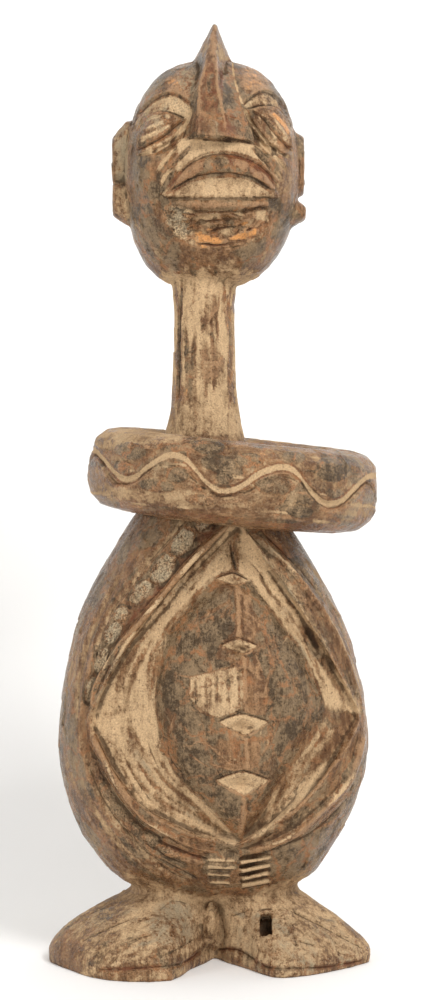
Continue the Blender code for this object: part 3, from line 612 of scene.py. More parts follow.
def carveNotches(skin):
    for left, top, right, low in notches:
        upper = [left, ((left[0] + top[0]) / 2, (left[1] + top[1]) / 2 - 0.8), top,
                 ((right[0] + top[0]) / 2, (right[1] + top[1]) / 2 - 0.8), right]
        skin.region([*upper, low], rise=-0.2, soft=2.5, smooth=False, clay=0.84, dark=0.0, worn=0.0,
                    red=0.0, grey=0.1, gloss=0.0)
        skin.stroke(upper, 2.8, 0.8, taper=0.1, dark=0.8, clay=0.05, red=0.6)
        skin.stroke([left, low, right], 2.4, -0.1, taper=0.1, worn=0.7, clay=0.3)
        skin.dome(((left[0] + right[0] * 2) / 3, (left[1] + low[1]) / 2 - 2), (6, 3.5), 0, 0, 1.0, 0.6,
                  clay=0.45, dark=0.5)


eyeLines = {
    "innerPatch": [(167, 94), (180, 100), (190, 107), (189, 117), (182, 119), (172, 113), (168, 105)],
    "leftPouch": [(188, 122), (181, 131), (171, 139), (156, 147), (140, 152)],
    "rightPouch": [(252, 116), (262, 129), (272, 141), (284, 150)],
    "lidCuts": (  # line, width, depth, clay, dark
        ([(190, 103), (179.5, 95.5), (169.5, 92.5), (158, 96.5), (146, 105), (135, 118),
          (131, 128)], 3.2, 1.5, 0.05, 1.0),
        ([(184, 119), (173, 113), (163, 110.4), (151, 113), (141, 119.5),
          (136, 128)], 3.0, 1.5, 0.05, 1.0),
        ([(184, 120), (173, 128), (166, 134.5), (158, 139.5), (146, 146),
          (137, 150)], 3.2, 1.4, 0.1, 0.8),
        ([(191, 108), (187, 122), (178, 133), (169.5, 143), (155, 151),
          (138, 155)], 4.2, 1.2, 0.9, 0.2),
        ([(243.3, 104.6), (252.5, 96.3), (262.4, 91.3), (271, 93), (279, 99.6),
          (286, 109.5), (290, 120)], 3.2, 1.5, 0.05, 1.0),
        ([(249, 108.7), (259, 105.4), (271, 105.4), (279, 109.5), (286, 118),
          (291, 128)], 3.0, 1.5, 0.05, 1.0),
        ([(250.8, 110.4), (264, 119.5), (274, 132.8), (285.6, 144.4),
          (292.3, 151)], 3.2, 1.4, 0.1, 0.8),
        ([(244.2, 108), (249, 119), (259, 133), (270.7, 147), (282.3, 154.3),
          (291.4, 157.6)], 4.2, 1.2, 0.9, 0.2),
    ),
    "leftBallTop": [(143, 134), (154, 127), (168, 119.5)],
    "leftBallCut": [(140, 143), (156, 134), (172, 124)],
    "leftBallDark": [(140, 147), (147, 141), (154, 138)],
    "leftBallPale": [(147, 131), (156, 126), (166, 122)],
    "leftBallLow": [(142, 139), (150, 135), (160, 131)],
    "leftLidPale": [(150, 121), (160, 117.5), (172, 118)],
    "rightBallPale": [(266, 112), (276, 124), (288, 141)],
    "rightBallInner": [(256, 113), (266, 126), (279, 141)],
    "leftLidCut": [(146, 122), (157, 117), (170, 116)],
    "rightBallWarm": [(268, 113), (276, 119), (283, 127), (289, 138)],
    "rightBallCut": [(258, 111), (268, 121), (280, 135), (290, 146)],
    "rightBallDark": [(262, 116), (272, 128), (283, 139)],
    "rightLidWarm": [(254, 104), (262, 100), (272, 102)],
}


def carveEyes(skin):
    # Bands from the brow down: a pale hollow, the eye, and a lower band, with cuts between them
    upperLeft = [(190, 104), (179.5, 96.5), (169.5, 93.5), (158, 97.5), (146, 106), (135, 119), (131, 132),
                 (137, 127), (141, 119.5), (151, 113), (163, 110.4), (173, 113), (183, 118.7), (190, 114)]
    upperRight = [(243, 105), (252.5, 97), (262.4, 92.5), (271, 94), (279, 101), (286, 111), (290, 122),
                  (286, 119), (279, 109.5), (271, 105.4), (259, 105.4), (249, 108.7)]
    eyeLeft = [(183, 119), (173, 113), (163, 110.4), (151, 113), (141, 119.5), (137, 128), (137, 149),
               (146, 146), (158, 139.5), (166, 134.5), (173, 128)]
    eyeRight = [(250, 109.5), (259, 105.4), (271, 105.4), (279, 109.5), (286, 118), (291, 128),
                (292.5, 150), (285.6, 144.4), (274, 132.8), (264, 119.5)]
    for outline, rise, clay, dark, worn in ((upperLeft, -1.0, 0.66, 0.28, 0.1),
                                            (upperRight, -0.8, 0.6, 0.32, 0.1),
                                            (eyeLeft, 0.9, 0.40, 0.5, 0.1),
                                            (eyeRight, 0.9, 0.42, 0.4, 0.2)):
        skin.region(outline, rise, 3, smooth=False, clay=clay, dark=dark, worn=worn, grey=0.35, speck=0.2)
    skin.region(eyeLines["innerPatch"], rise=-0.5, soft=3, smooth=False, clay=0.95, dark=0.05, worn=0)
    skin.stroke(eyeLines["leftPouch"], 8, -0.6, clay=0.72, dark=0.1, worn=0.2)
    skin.stroke(eyeLines["rightPouch"], 8, -0.6, clay=0.66, dark=0.1, worn=0.25)
    for points, width, depth, clay, dark in eyeLines["lidCuts"]:
        skin.stroke(points, width, depth * 0.8, 0.05, power=0.8, clay=clay, dark=dark * 0.8,
                    red=0.6 if clay < 0.5 else 0.0)
    skin.stroke(eyeLines["leftBallTop"], 6, -0.6, clay=0.3, dark=0.55, worn=0.3)
    skin.stroke(eyeLines["leftBallCut"], 3, 0.5, clay=0.8, dark=0.3)
    skin.stroke(eyeLines["leftBallDark"], 3, 0.7, clay=0.1, dark=0.8, red=0.4)
    skin.stroke(eyeLines["leftBallPale"], 3.0, -0.2, clay=0.95, dark=0.0)
    skin.stroke(eyeLines["leftBallLow"], 3.4, -0.3, clay=0.9, dark=0.0, grey=0.3)
    skin.stroke(eyeLines["leftLidPale"], 3.4, -0.2, clay=0.9, dark=0.0)
    skin.stroke(eyeLines["rightBallPale"], 2.6, -0.4, clay=0.95, dark=0.0, worn=0.0)
    skin.stroke(eyeLines["rightBallInner"], 2.6, -0.4, clay=0.95, dark=0.0, worn=0.0)
    skin.stroke(eyeLines["leftLidCut"], 3, 0.4, clay=0.8, dark=0.3)
    skin.stroke(eyeLines["rightBallWarm"], 7, -0.9, clay=0.05, dark=0.0, worn=0.95)
    skin.stroke(eyeLines["rightBallCut"], 3, 0.6, clay=0.75, dark=0.3)
    skin.stroke(eyeLines["rightBallDark"], 3, 0.5, clay=0.1, dark=0.95)
    skin.stroke(eyeLines["rightLidWarm"], 3, 0.3, worn=0.6, dark=0.3)


mouthLines = {
    "lipStrokes": (176, 222, 160),  # left, middle and top
    "philtrum": [(183, 141), (222, 141), (258, 145), (262, 160), (240, 153), (215, 151), (195, 158),
                 (176, 172)],
    "lipRed": [(167, 192), (178, 182), (191, 170), (204, 163.5), (221, 160), (238, 161), (254, 168),
               (266, 178), (275, 189)],
    "mouthFloor": [(166, 196), (172, 189), (183, 182.5), (203, 176), (223, 174.5), (243, 176), (259, 182),
                   (275, 193), (270, 197)],
    "foldCuts": ([(186, 136), (173, 151), (163, 162.6), (154.6, 174)],
                 [(186, 148), (173, 166), (163, 179), (161, 188)],
                 [(256.6, 138), (267.4, 149.4), (279, 161), (287, 171)],
                 [(256, 151), (267.4, 164.3), (277.3, 174), (282.3, 183)]),
    "foldRidges": ([(192, 146), (179, 158), (169, 171)], [(252, 146), (262, 156), (273, 168)]),
    "lipTop": [(164.6, 194), (173, 182), (186, 167), (199.4, 158.5), (216, 153.6), (234, 154.5),
               (251, 160.5), (264, 169), (276, 182), (280, 189)],
    "lipShade": [(206, 160), (226, 156), (230, 172), (212, 174)],
    "lipUnder": [(166, 194.5), (177, 186), (190, 179.5), (203, 175.5), (222.6, 173.7), (242.5, 175.5),
                 (259, 181.5), (275, 192.5)],
    "lipDust": [(172, 191), (186, 184), (204, 179)],
    "lowerLipCut": [(166, 197.5), (190, 198.5), (222, 198.5), (250, 198), (276, 196)],
    "lowerLip": [(176, 203), (198, 204.5), (222, 205), (246, 204.5), (266, 202.5)],
    "lowerLipUnder": [(172, 205), (184, 208), (196, 212), (222, 213), (246, 212), (266, 205)],
}


def carveMouth(skin):
    skin.region(mouthLines["philtrum"], soft=4, rise=-0.2, clay=0.90, dark=0.1, worn=0)
    skin.stroke(mouthLines["lipRed"], 13, 0, 0.1, red=0.55)
    skin.region(mouthLines["mouthFloor"], rise=1.2, soft=3, clay=0.72, dark=0.0, worn=0.0, grey=0.15)
    # Folds from the nose to the corners of the mouth
    for points in mouthLines["foldCuts"]:
        skin.stroke(points, 5, 1.2, spread=1.1, clay=0.95, dark=0.1, worn=0)
    for points in mouthLines["foldRidges"]:
        skin.stroke(points, 6, -0.8, dark=0.8, clay=0.1, worn=0.1)
    skin.stroke(mouthLines["lipTop"], 3.6, 0.9, 0.05, clay=0.8, dark=0.2)
    skin.stroke(mouthLines["lipRed"], 15, -0.7, 0.1, clay=0.0, dark=0.15, worn=0.4, red=0.95, gloss=0.3)
    left, middle, top = mouthLines["lipStrokes"]
    for k in range(14):
        x = left + k * 7.2
        y = top + ((x - middle) / 50) ** 2 * 24
        worn, dark = (0.75, 0.1) if k % 2 else (0.1, 0.9)
        skin.stroke([(x, y - 1), (x + (x - middle) * 0.03, y + 7)], 2.6, 0.1, 0.3, worn=worn, dark=dark,
                    clay=0.0)
    skin.region(mouthLines["lipShade"], soft=7, amount=0.9, dark=0.9, worn=0.0, clay=0.05)
    skin.stroke(mouthLines["lipUnder"], 3.0, 1.1, 0.08, clay=0.05, dark=0.9, red=0.6)
    skin.stroke(mouthLines["lipDust"], 5, 0.1, 0.4, clay=0.6, dark=0.5, grey=0.5)
    skin.stroke(mouthLines["lowerLipCut"], 2.6, 0.9, 0.08, clay=0.6, dark=0.6)
    skin.stroke(mouthLines["lowerLip"], 8, -0.6, clay=0.05, dark=0.55, worn=0.25, red=0.35, gloss=0.5)
    skin.stroke(mouthLines["lowerLipUnder"], 3.5, 1.1, clay=0.0, dark=0.8, red=0.7)


chinLines = {
    "dustyCorner": [(164, 208), (186, 210), (192, 226), (184, 240), (168, 230)],
    "rawEdge": [(196, 230), (230, 236), (262, 222), (262, 238), (232, 249), (198, 247)],
    "rawPatches": (([(196, 236), (208, 238), (222, 237)], 7),
                   ([(222, 240), (240, 238), (254, 231), (261, 226)], 7), ([(204, 229), (220, 231)], 4),
                   ([(236, 226), (250, 222)], 4), ([(180, 214), (192, 217)], 4)),
    "cracks": ([(200, 221), (214, 222), (226, 219)], [(206, 233), (222, 228), (240, 226)],
               [(228, 214), (244, 218)], [(194, 243), (216, 246), (236, 243)], [(246, 232), (256, 227)],
               [(186, 214), (198, 217)]),
}


def carveChin(skin):
    broken = [(170, 207), (200, 213), (240, 212), (266, 206), (270, 222), (258, 241), (230, 250),
              (196, 248), (174, 233)]
    skin.region(broken, rise=-0.8, soft=5, clay=0.50, dark=0.28, worn=0.45, red=0.1)
    skin.region(chinLines["dustyCorner"], soft=8, clay=0.6, dark=0.5, worn=0.0, grey=0.6, speck=0.8)
    skin.region(chinLines["rawEdge"], soft=6, amount=0.8, clay=0.25, dark=0.05, worn=0.85)
    line = smoothLine(broken, True, 2)
    inside = skin.near(line, 0)
    within = insideOf(skin.spots[inside], line)
    # The split wood stands in ragged ledges
    ledges = skin.co[inside][:, 2] / (3.6 * mm) + softNoise(skin.co[inside], 5 * mm, 43) * 1.3
    ledges = np.abs(ledges - np.floor(ledges) - 0.5) * 0.9 - 0.2
    rough = ledges + softNoise(skin.co[inside] * [0.7, 1, 1.6], 2.4 * mm, 40) * 0.45
    rough += softNoise(skin.co[inside], 1.2 * mm, 41) * 0.2
    skin.lift[inside] += rough * within
    skin.tones["clay"][inside] += within * softNoise(skin.co[inside] * [0.6, 1, 1.4], 3.5 * mm, 45) * 0.6
    skin.tones["dark"][inside] += within * softNoise(skin.co[inside] * [0.6, 1, 1.4], 4.5 * mm, 46) * 0.4
    skin.tones["worn"][inside] += within * softNoise(skin.co[inside] * [0.5, 1, 1.6], 4.0 * mm, 47) * 0.5
    for points, width in chinLines["rawPatches"]:
        skin.stroke(points, width, 0.2, 0.3, clay=0.05, dark=0.0, worn=0.95)
    for points in chinLines["cracks"]:
        skin.stroke(points, 2.6, 0.9, 0.4, clay=0.0, dark=0.7, worn=0.0, red=0.8)


headLines = {
    "middle": 214,  # across
    "noseMiddle": 210,
    "eyesAndNose": (176, 262, 100),  # left, right and top
    "brokenChin": (166, 270, 250),  # left, right and low
    "noseArea": (200, 224, 72, 128),
    "faceArea": (134, 296, 66, 215),
    "jawArea": (136, 292, 205, 278),
    "crestFront": [(214, 26), (222, 44), (229, 60), (216, 66), (204, 62), (200, 50)],
    "noseFront": [(206, 58), (218, 58), (222, 90), (232, 134), (194, 134), (198, 90)],
    "noseSide": [(219, 62), (231, 72), (240, 100), (254, 140), (232, 136), (224, 104)],
    "noseTip": [(222, 112), (236, 116), (248, 138), (224, 136)],
    "frontEdge": [(206.6, 61), (203, 75), (198.8, 89), (198.8, 118)],
    "sideEdge": [(216, 60), (217.5, 89), (223, 112), (227, 130)],
    "crestLine": [(213, 34), (213, 48), (213, 62)],
    "noseShade": [(210, 70), (209, 84), (209, 96)],
    "noseDust": [(204, 114), (216, 112), (219, 132), (204, 134)],
    "noseCracks": ([(232.6, 62), (233.4, 70), (234, 77)], [(234.6, 79), (236.4, 86), (238.4, 93)],
                   [(239, 95), (241, 100), (243, 104)]),
    "shadowUnderNose": [(188, 137.5), (203, 136), (221, 137), (236, 140), (254, 144)],
    "nostrilShadows": ((206, 138.5), (228, 140)),
    "leftCheek": [(146, 157), (145, 175), (149, 195), (156, 214)],
    "leftCheekWear": [(160, 196), (158, 206), (164, 222)],
    "leftCheekRub": [(155, 160), (152, 172), (155, 184)],
    "rightJaw": [(284, 186), (288, 200), (284, 222)],
    "rightBrow": [(247, 62), (262, 72), (270, 86), (258, 92), (244, 92), (240, 76)],
    "leftBrow": [(168, 76), (182, 80), (191, 98), (178, 93), (165, 90)],
    "underChin": [(186, 262), (206, 256), (236, 258), (246, 284), (182, 286)],
    "leftJaw": [(140, 226), (166, 236), (182, 256), (176, 272), (150, 252)],
    "leftEar": [(112, 122), (128, 120), (129, 182), (114, 184)],
    "foreheadDust": [(176, 74), (192, 70), (196, 90), (190, 96), (180, 88)],
    "rightCheek": [(280, 160), (291, 166), (292, 200), (284, 214), (278, 190)],
    "leftLobe": [(112, 186), (128, 186), (129, 222), (114, 220)],
    "rightEar": [(291, 130), (306, 134), (306, 226), (290, 226)],
    "leftTemple": [(150, 80), (166, 70), (184, 66)],
}


def carveHead(skin, chance):
    carveEyes(skin)
    carveMouth(skin)
    carveChin(skin)
    # Nose: two rubbed edges, the crack beside it and, below it, a cut darkened with painted shadow
    skin.region(headLines["crestFront"], soft=8, smooth=False, clay=0.62, dark=0.2, grey=0.5)
    skin.region(headLines["noseFront"], soft=4, smooth=False, clay=0.04, dark=0.3, worn=0.25, red=0.6,
                gloss=0.6)
    skin.region(headLines["noseSide"], soft=4, smooth=False, clay=0.05, dark=0.85, worn=0.05, red=0.3,
                gloss=0.6)
    skin.region(headLines["noseTip"], soft=6, amount=0.7, dark=0.3, worn=0.2, red=0.9)
    for k in range(16):
        x, y = somewhere(chance, headLines["noseArea"])
        tones = ({"worn": 0.7, "red": 0.2}, {"dark": 0.9, "red": 0.2}, {"red": 0.9, "dark": 0.3})[k % 3]
        lean = (x - headLines["noseMiddle"]) * 0.1
        skin.stroke([(x, y - 9), (x + 0.5, y), (x + lean, y + 9)], 3, 0.05, 0.5, clay=0.05, **tones)
    skin.stroke(headLines["frontEdge"], 3.2, -0.5, 0.3, worn=0.66, dark=0.15)
    skin.stroke(headLines["sideEdge"], 3.2, -0.5, 0.3, worn=0.62, dark=0.2)
    skin.stroke(headLines["crestLine"], 6, -0.3, 0.3, worn=0.35, dark=0.4, clay=0.1, red=0.6)
    skin.stroke(headLines["noseShade"], 5, 0.1, 0.5, dark=0.9, worn=0.0)
    skin.region(headLines["noseDust"], soft=5, amount=0.8, clay=0.35, dark=0.5, grey=0.6, red=0.3)
    for crack in headLines["noseCracks"]:
        skin.stroke(crack, 2.0, 0.7, clay=1.0, dark=0.0)
    # Painted shadow under the nose, darkest at the nostrils
    skin.stroke(headLines["shadowUnderNose"], 3.4, 0.8, 0.05, clay=0.2, dark=0.6, red=0.6)
    for x, y in headLines["nostrilShadows"]:
        skin.dome((x, y), (5.5, 2.4), 0, -0.5, 1.0, clay=0.0, dark=1.0)
    # Cheeks, temples and brow
    skin.stroke(headLines["leftCheek"], 17, -0.9, 0.2, dark=1.0, clay=0.0, worn=0.0, red=0.1)
    skin.stroke(headLines["leftCheekWear"], 10, 0.6, 0.3, dark=0.3, clay=0.1, worn=0.6)
    skin.stroke(headLines["leftCheekRub"], 7, 0.4, 0.3, dark=0.2, clay=0.05, worn=0.6)
    skin.stroke(headLines["rightJaw"], 16, -0.5, 0.3, dark=0.7, clay=0.15, worn=0.1)
    skin.region(headLines["rightBrow"], soft=10, amount=0.95, worn=0.78, dark=0.1, red=0.2)
    skin.region(headLines["leftBrow"], soft=8, amount=0.95, worn=0.82, dark=0.05)
    for _ in range(70):
        x, y = somewhere(chance, headLines["faceArea"])
        left, right, top = headLines["eyesAndNose"]
        if not left < x < right or y < top:
            length, lean = chance.uniform(8, 24), (x - headLines["middle"]) * 0.12
            tone = chance.choice(4, p=[0.34, 0.24, 0.24, 0.18])
            tones = ({"clay": 0.05, "dark": 0.9}, {"clay": 0.3, "dark": 0.45, "grey": 0.8, "speck": 0.4},
                     {"clay": 0.1, "dark": 0.3, "worn": 0.4}, {"clay": 0.1, "dark": 0.5, "red": 0.6})[tone]
            skin.stroke([(x - lean / 2, y - length / 2), (x, y), (x - lean / 4, y + length / 2)],
                        chance.uniform(3, 7), 0.0, 0.5, **tones)
    skin.region(headLines["underChin"], soft=12, amount=0.8, clay=0.7, dark=0.15, worn=0.2)
    skin.region(headLines["leftJaw"], soft=10, amount=0.8, clay=0.1, dark=0.95, worn=0.0, grey=0.4)
    # The ears, with clay on their faces
    skin.region(headLines["leftEar"], soft=8, smooth=False, amount=0.9, clay=0.72, dark=0.12, worn=0.1,
                grey=0.7)
    skin.region(headLines["foreheadDust"], soft=6, amount=0.8, clay=0.55, dark=0.1, grey=0.8, speck=0.3)
    skin.region(headLines["rightCheek"], soft=8, amount=0.8, clay=0.6, dark=0.15, worn=0.2, grey=0.5)
    skin.region(headLines["leftLobe"], soft=6, smooth=False, amount=0.8, clay=0.62, dark=0.2, worn=0.25,
                grey=0.2)
    skin.region(headLines["rightEar"], soft=6, smooth=False, amount=0.7, clay=0.4, dark=0.4, worn=0.1,
                grey=0.4)
    skin.stroke(headLines["leftTemple"], 14, 0.0, 0.3, dark=0.85, worn=0.1)
    for _ in range(80):
        x, y = somewhere(chance, headLines["jawArea"])
        length, lean = chance.uniform(8, 26), (x - headLines["middle"]) * 0.10
        tone = chance.choice(3, p=[0.42, 0.33, 0.25])
        tones = ({"clay": 0.05, "dark": 0.95}, {"clay": 0.15, "dark": 0.15, "worn": 0.55},
                 {"clay": 0.6, "dark": 0.4, "grey": 0.4})[tone]
        left, right, low = headLines["brokenChin"]
        if not (left < x < right and y < low):
            skin.stroke([(x + lean, y - length / 2), (x, y), (x - lean, y + length / 2)],
                        chance.uniform(3, 7), chance.uniform(-0.1, 0.2), 0.4, **tones)


neckLines = {
    "area": (170, 240, 286, 430),
    "rubbedOval": [(203, 345), (214, 343), (222, 356), (220, 372), (208, 386), (200, 372)],
    "leftSplit": [(181, 290), (179, 330), (179, 372), (176, 408)],
    "rightSplit": [(229, 300), (231, 340), (230, 380)],
    "neckFoot": [(172, 404), (240, 402), (246, 436), (166, 436)],
}


def carveNeck(skin, chance):
    for _ in range(120):
        x, y = somewhere(chance, neckLines["area"])
        length = chance.uniform(18, 60)
        tone = chance.choice(4, p=[0.32, 0.26, 0.22, 0.20])
        tones = ({"clay": 0.95, "dark": 0.0, "worn": 0.2}, {"clay": 0.3, "dark": 0.05, "worn": 0.8},
                 {"clay": 0.25, "dark": 0.6, "worn": 0.1, "red": 0.4},
                 {"clay": 0.6, "dark": 0.1, "worn": 0.5})[tone]
        lean = chance.uniform(-2, 2)
        skin.stroke([(x - lean, y - length / 2), (x, y), (x + lean, y + length / 2)],
                    chance.uniform(2.5, 6), chance.uniform(-0.1, 0.25), 0.4, **tones)
    skin.region(neckLines["rubbedOval"], rise=0.1, soft=7, amount=0.7, clay=0.4, dark=0.0, worn=0.8)
    skin.stroke(neckLines["leftSplit"], 4, 0.9, dark=0.8, clay=0.1)
    skin.stroke(neckLines["rightSplit"], 4, 0.5, dark=0.5, clay=0.3, worn=0.4)
    skin.region(neckLines["neckFoot"], soft=14, smooth=False, amount=0.5, clay=0.85, dark=0.1)


feetLines = {
    "middle": 210,
    "area": (50, 366, 905, 975),
    "leftEnd": [(46, 946), (54, 934), (72, 930), (84, 948), (80, 972), (56, 966)],
    "leftTop": [(60, 924), (100, 906), (140, 896), (120, 920), (84, 938)],
    "leftSole": [(100, 968), (150, 966), (190, 960), (200, 968), (160, 984), (100, 984)],
    "rightSole": [(240, 955), (290, 970), (366, 962), (372, 972), (290, 988), (236, 978)],
    "leftSoleEdge": [(97, 970), (122, 969), (149, 967.5), (177, 965), (191, 958.6), (201, 949.5)],
    "rightSoleEdge": [(216, 949.4), (239, 950.5), (266, 967), (294, 968.5), (328, 967), (368, 960)],
    "rightCrease": [(279, 904.6), (328, 928.7), (370, 953)],
    "leftSmear": [(150, 917), (166, 903), (190, 906), (198, 930), (184, 946), (156, 944)],
    "rightSmear": [(240, 915), (300, 912), (366, 950), (300, 968), (240, 950)],
    "nubLeft": [(204, 915), (202, 935), (206, 950)],
    "nubRight": [(221, 915), (224, 935), (220, 948)],
    "slot": [(260.5, 915), (270.5, 913), (271, 934), (261, 935)],
    "scratches": ([(282, 929), (286, 937)], [(290, 927), (288, 937)], [(293, 933), (297, 945), (292, 942)],
                  [(298, 941), (316, 945)], [(336, 951), (352, 957)], [(232, 916), (250, 910)],
                  [(240, 908), (247, 918)], [(64, 930), (86, 915), (118, 903)],
                  [(76, 944), (104, 930), (140, 915)], [(98, 958), (120, 944), (156, 934)],
                  [(150, 960), (176, 950), (196, 938)], [(158, 912), (172, 901), (190, 905)]),
    "knot": (105, 953),
    "knotRing": [(96, 944), (112, 941), (120, 952), (108, 965), (95, 958)],
}


def carveFeet(skin, chance):
    for _ in range(90):
        x, y = somewhere(chance, feetLines["area"])
        least, most = (-34, -10) if x < feetLines["middle"] else (10, 34)
        lean, length = chance.uniform(least, most), chance.uniform(14, 44)
        dx, dy = length / 2 * math.cos(math.radians(lean)), length / 2 * math.sin(math.radians(lean))
        tone = chance.choice(5, p=[0.26, 0.22, 0.2, 0.18, 0.14])
        tones = ({"clay": 0.85, "dark": 0.05}, {"clay": 0.5, "dark": 0.4, "grey": 0.5},
                 {"clay": 0.4, "worn": 0.5}, {"clay": 0.45, "dark": 0.5, "red": 0.4},
                 {"clay": 0.62, "dark": 0.15, "grey": 0.8})[tone]
        skin.stroke([(x - dx, y - dy), (x, y + 1), (x + dx, y + dy)], chance.uniform(3, 8),
                    chance.uniform(-0.1, 0.2), 0.5, **tones)
    skin.region(feetLines["leftEnd"], soft=14, amount=0.7, clay=0.3, dark=0.5, red=0.6)
    skin.region(feetLines["leftTop"], soft=12, amount=0.6, clay=0.5, dark=0.45, grey=0.5)
    skin.region(feetLines["leftSole"], soft=6, amount=0.6, clay=0.45, dark=0.4, red=0.3)
    skin.region(feetLines["rightSole"], soft=6, amount=0.6, clay=0.45, dark=0.4, red=0.3)
    skin.stroke(feetLines["leftSoleEdge"], 5, 0.8, taper=0.05, clay=0.2, dark=0.6, red=0.8)
    skin.stroke(feetLines["rightSoleEdge"], 5, 0.8, taper=0.05, clay=0.2, dark=0.6, red=0.8)
    skin.stroke(feetLines["rightCrease"], 4, 0.8, clay=0.5, dark=0.7)
    skin.region(feetLines["leftSmear"], soft=12, clay=0.62, dark=0.2, grey=0.6)
    skin.region(feetLines["rightSmear"], soft=14, amount=0.45, clay=0.6, dark=0.3, grey=0.6)
    skin.stroke(feetLines["nubLeft"], 3, 0.4, clay=0.5, dark=0.4)
    skin.stroke(feetLines["nubRight"], 3, 0.4, clay=0.5, dark=0.4)
    skin.region(feetLines["slot"], rise=-4.0, soft=2, smooth=False, clay=0, dark=1.0, worn=0)
    for points in feetLines["scratches"]:
        skin.stroke(points, 3, 0.5, dark=0.6, clay=0.4)
    skin.dome(feetLines["knot"], (14, 10), -25, -0.5, 1.0, clay=0.6, dark=0.35)
    skin.stroke(feetLines["knotRing"], 3, 0.5, dark=0.5, clay=0.5)


def finishPiece(piece, node, material):
    piece.data.materials.clear()
    piece.data.materials.append(material)
    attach(piece, "root")
    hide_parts(node)
    print(piece.name, "done:", len(piece.data.polygons), "faces")


def makeFigure():
    piece = fineMesh(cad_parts["figure"], "carvedFigure", figureLook["voxel"], figureLook["smoothing"])
    calmDown(piece, sockets, figureLook["calming"])
    calmDown(piece, seams, figureLook["seamCalming"])
    co, normal = readPoints(piece)
    skin = Carving(co, normal)
    chance = np.random.default_rng(7)
    height = co[:, 2] / mm
    # Broad tones first: clay on the neck and feet, dark wood on the head and back
    whole = np.arange(len(co))
    body = easeStep((figureLook["bodyTop"] - height) / 12) * easeStep((height - figureLook["bodyLow"]) / 6)
    neck = easeStep((height - figureLook["neckLow"]) / 12) * easeStep((figureLook["neckTop"] - height) / 8)
    feet = easeStep((figureLook["feetTop"] - height) / 6)
    head = easeStep((height - figureLook["headLow"]) / 10)
    skin.tint(whole, body, {"clay": 0.30, "dark": 0.46, "worn": 0.22, "gloss": 0.4, "grey": 0.2})
    skin.tint(whole, neck, {"clay": 0.86, "dark": 0.0, "worn": 0.3, "gloss": 0.3})
    skin.tint(whole, feet, {"clay": 0.70, "dark": 0.24, "worn": 0.05, "gloss": 0.2, "grey": 0.15})
    skin.tint(whole, head, {"clay": 0.14, "dark": 0.68, "worn": 0.14, "gloss": 0.6, "red": 0.1})
    carveTrough(skin, chance)
    carveBelly(skin)
    carveShell(skin, chance)
    carveNeck(skin, chance)
    carveHead(skin, chance)
    carveFeet(skin, chance)
    carveNotches(skin)
    size, lean = figureLook["flatSize"], figureLook["flatLean"]
    flats = knifeFlats(co, size * mm, 3) * size * lean
    flats += knifeFlats(co, size * 0.45 * mm, 31) * size * lean * 0.35
    rough = softNoise(co * [1, 1, 0.5], 3.0 * mm, 11) + 0.5 * softNoise(co, 1.5 * mm, 12)
    standing = easeStep((height - 1.0) / 3)
    skin.lift += (flats + rough * figureLook["roughness"]) * standing
    co += normal * (skin.lift * mm)[:, None]
    sole = co[:, 2] < figureLook["soleCut"] * mm
    co[sole, 2] = 0
    writePoints(piece, co)
    co, normal = readPoints(piece)
    writeTones(piece, skin.tones, reliefOf(piece, co, normal))
    print("figure carved:", len(co), "points")
    onFace = co[:, 2] > figureLook["chinHeight"] * mm
    front = np.where(onFace, figureLook["faceShare"], figureLook["frontShare"])
    thinOut(piece, figureLook["mostTriangles"], np.where(normal[:, 1] > backFacing, 1.0, front))
    finishPiece(piece, "figure", woodFinish("figureWood", figureColours))


# The ring

ringLook = {
    "voxel": 0.0007,
    "smoothing": 8,
    "mostTriangles": 120000,
    "frontShare": 0.5,
    "flatSize": 12.0,  # mm
    "flatLean": 0.028,
    "roughness": 0.12,  # mm
}


ringLines = {
    "area": (84, 382, 428, 528),
    "darkSpots": ((131, 451, 17, 9), (122, 468, 9, 7), (165, 444, 16, 6), (209, 447, 17, 8),
                  (218, 463, 18, 9), (225, 478, 9, 6), (294, 457, 12, 6), (333, 469, 19, 13),
                  (335, 494, 9, 6), (177, 474, 13, 9), (157, 486, 19, 7), (274, 485, 21, 11),
                  (250, 461, 14, 8), (300, 512, 14, 6), (200, 500, 16, 6)),
    "paleTop": [(90, 436), (150, 426), (180, 436), (170, 446), (120, 446), (96, 450)],
    "paleBottom": [(100, 486), (150, 490), (230, 500), (250, 506), (200, 508), (110, 498)],
    "shadedUnderside": [(96, 500), (160, 509), (260, 516), (350, 530), (350, 536), (240, 526), (100, 510)],
}


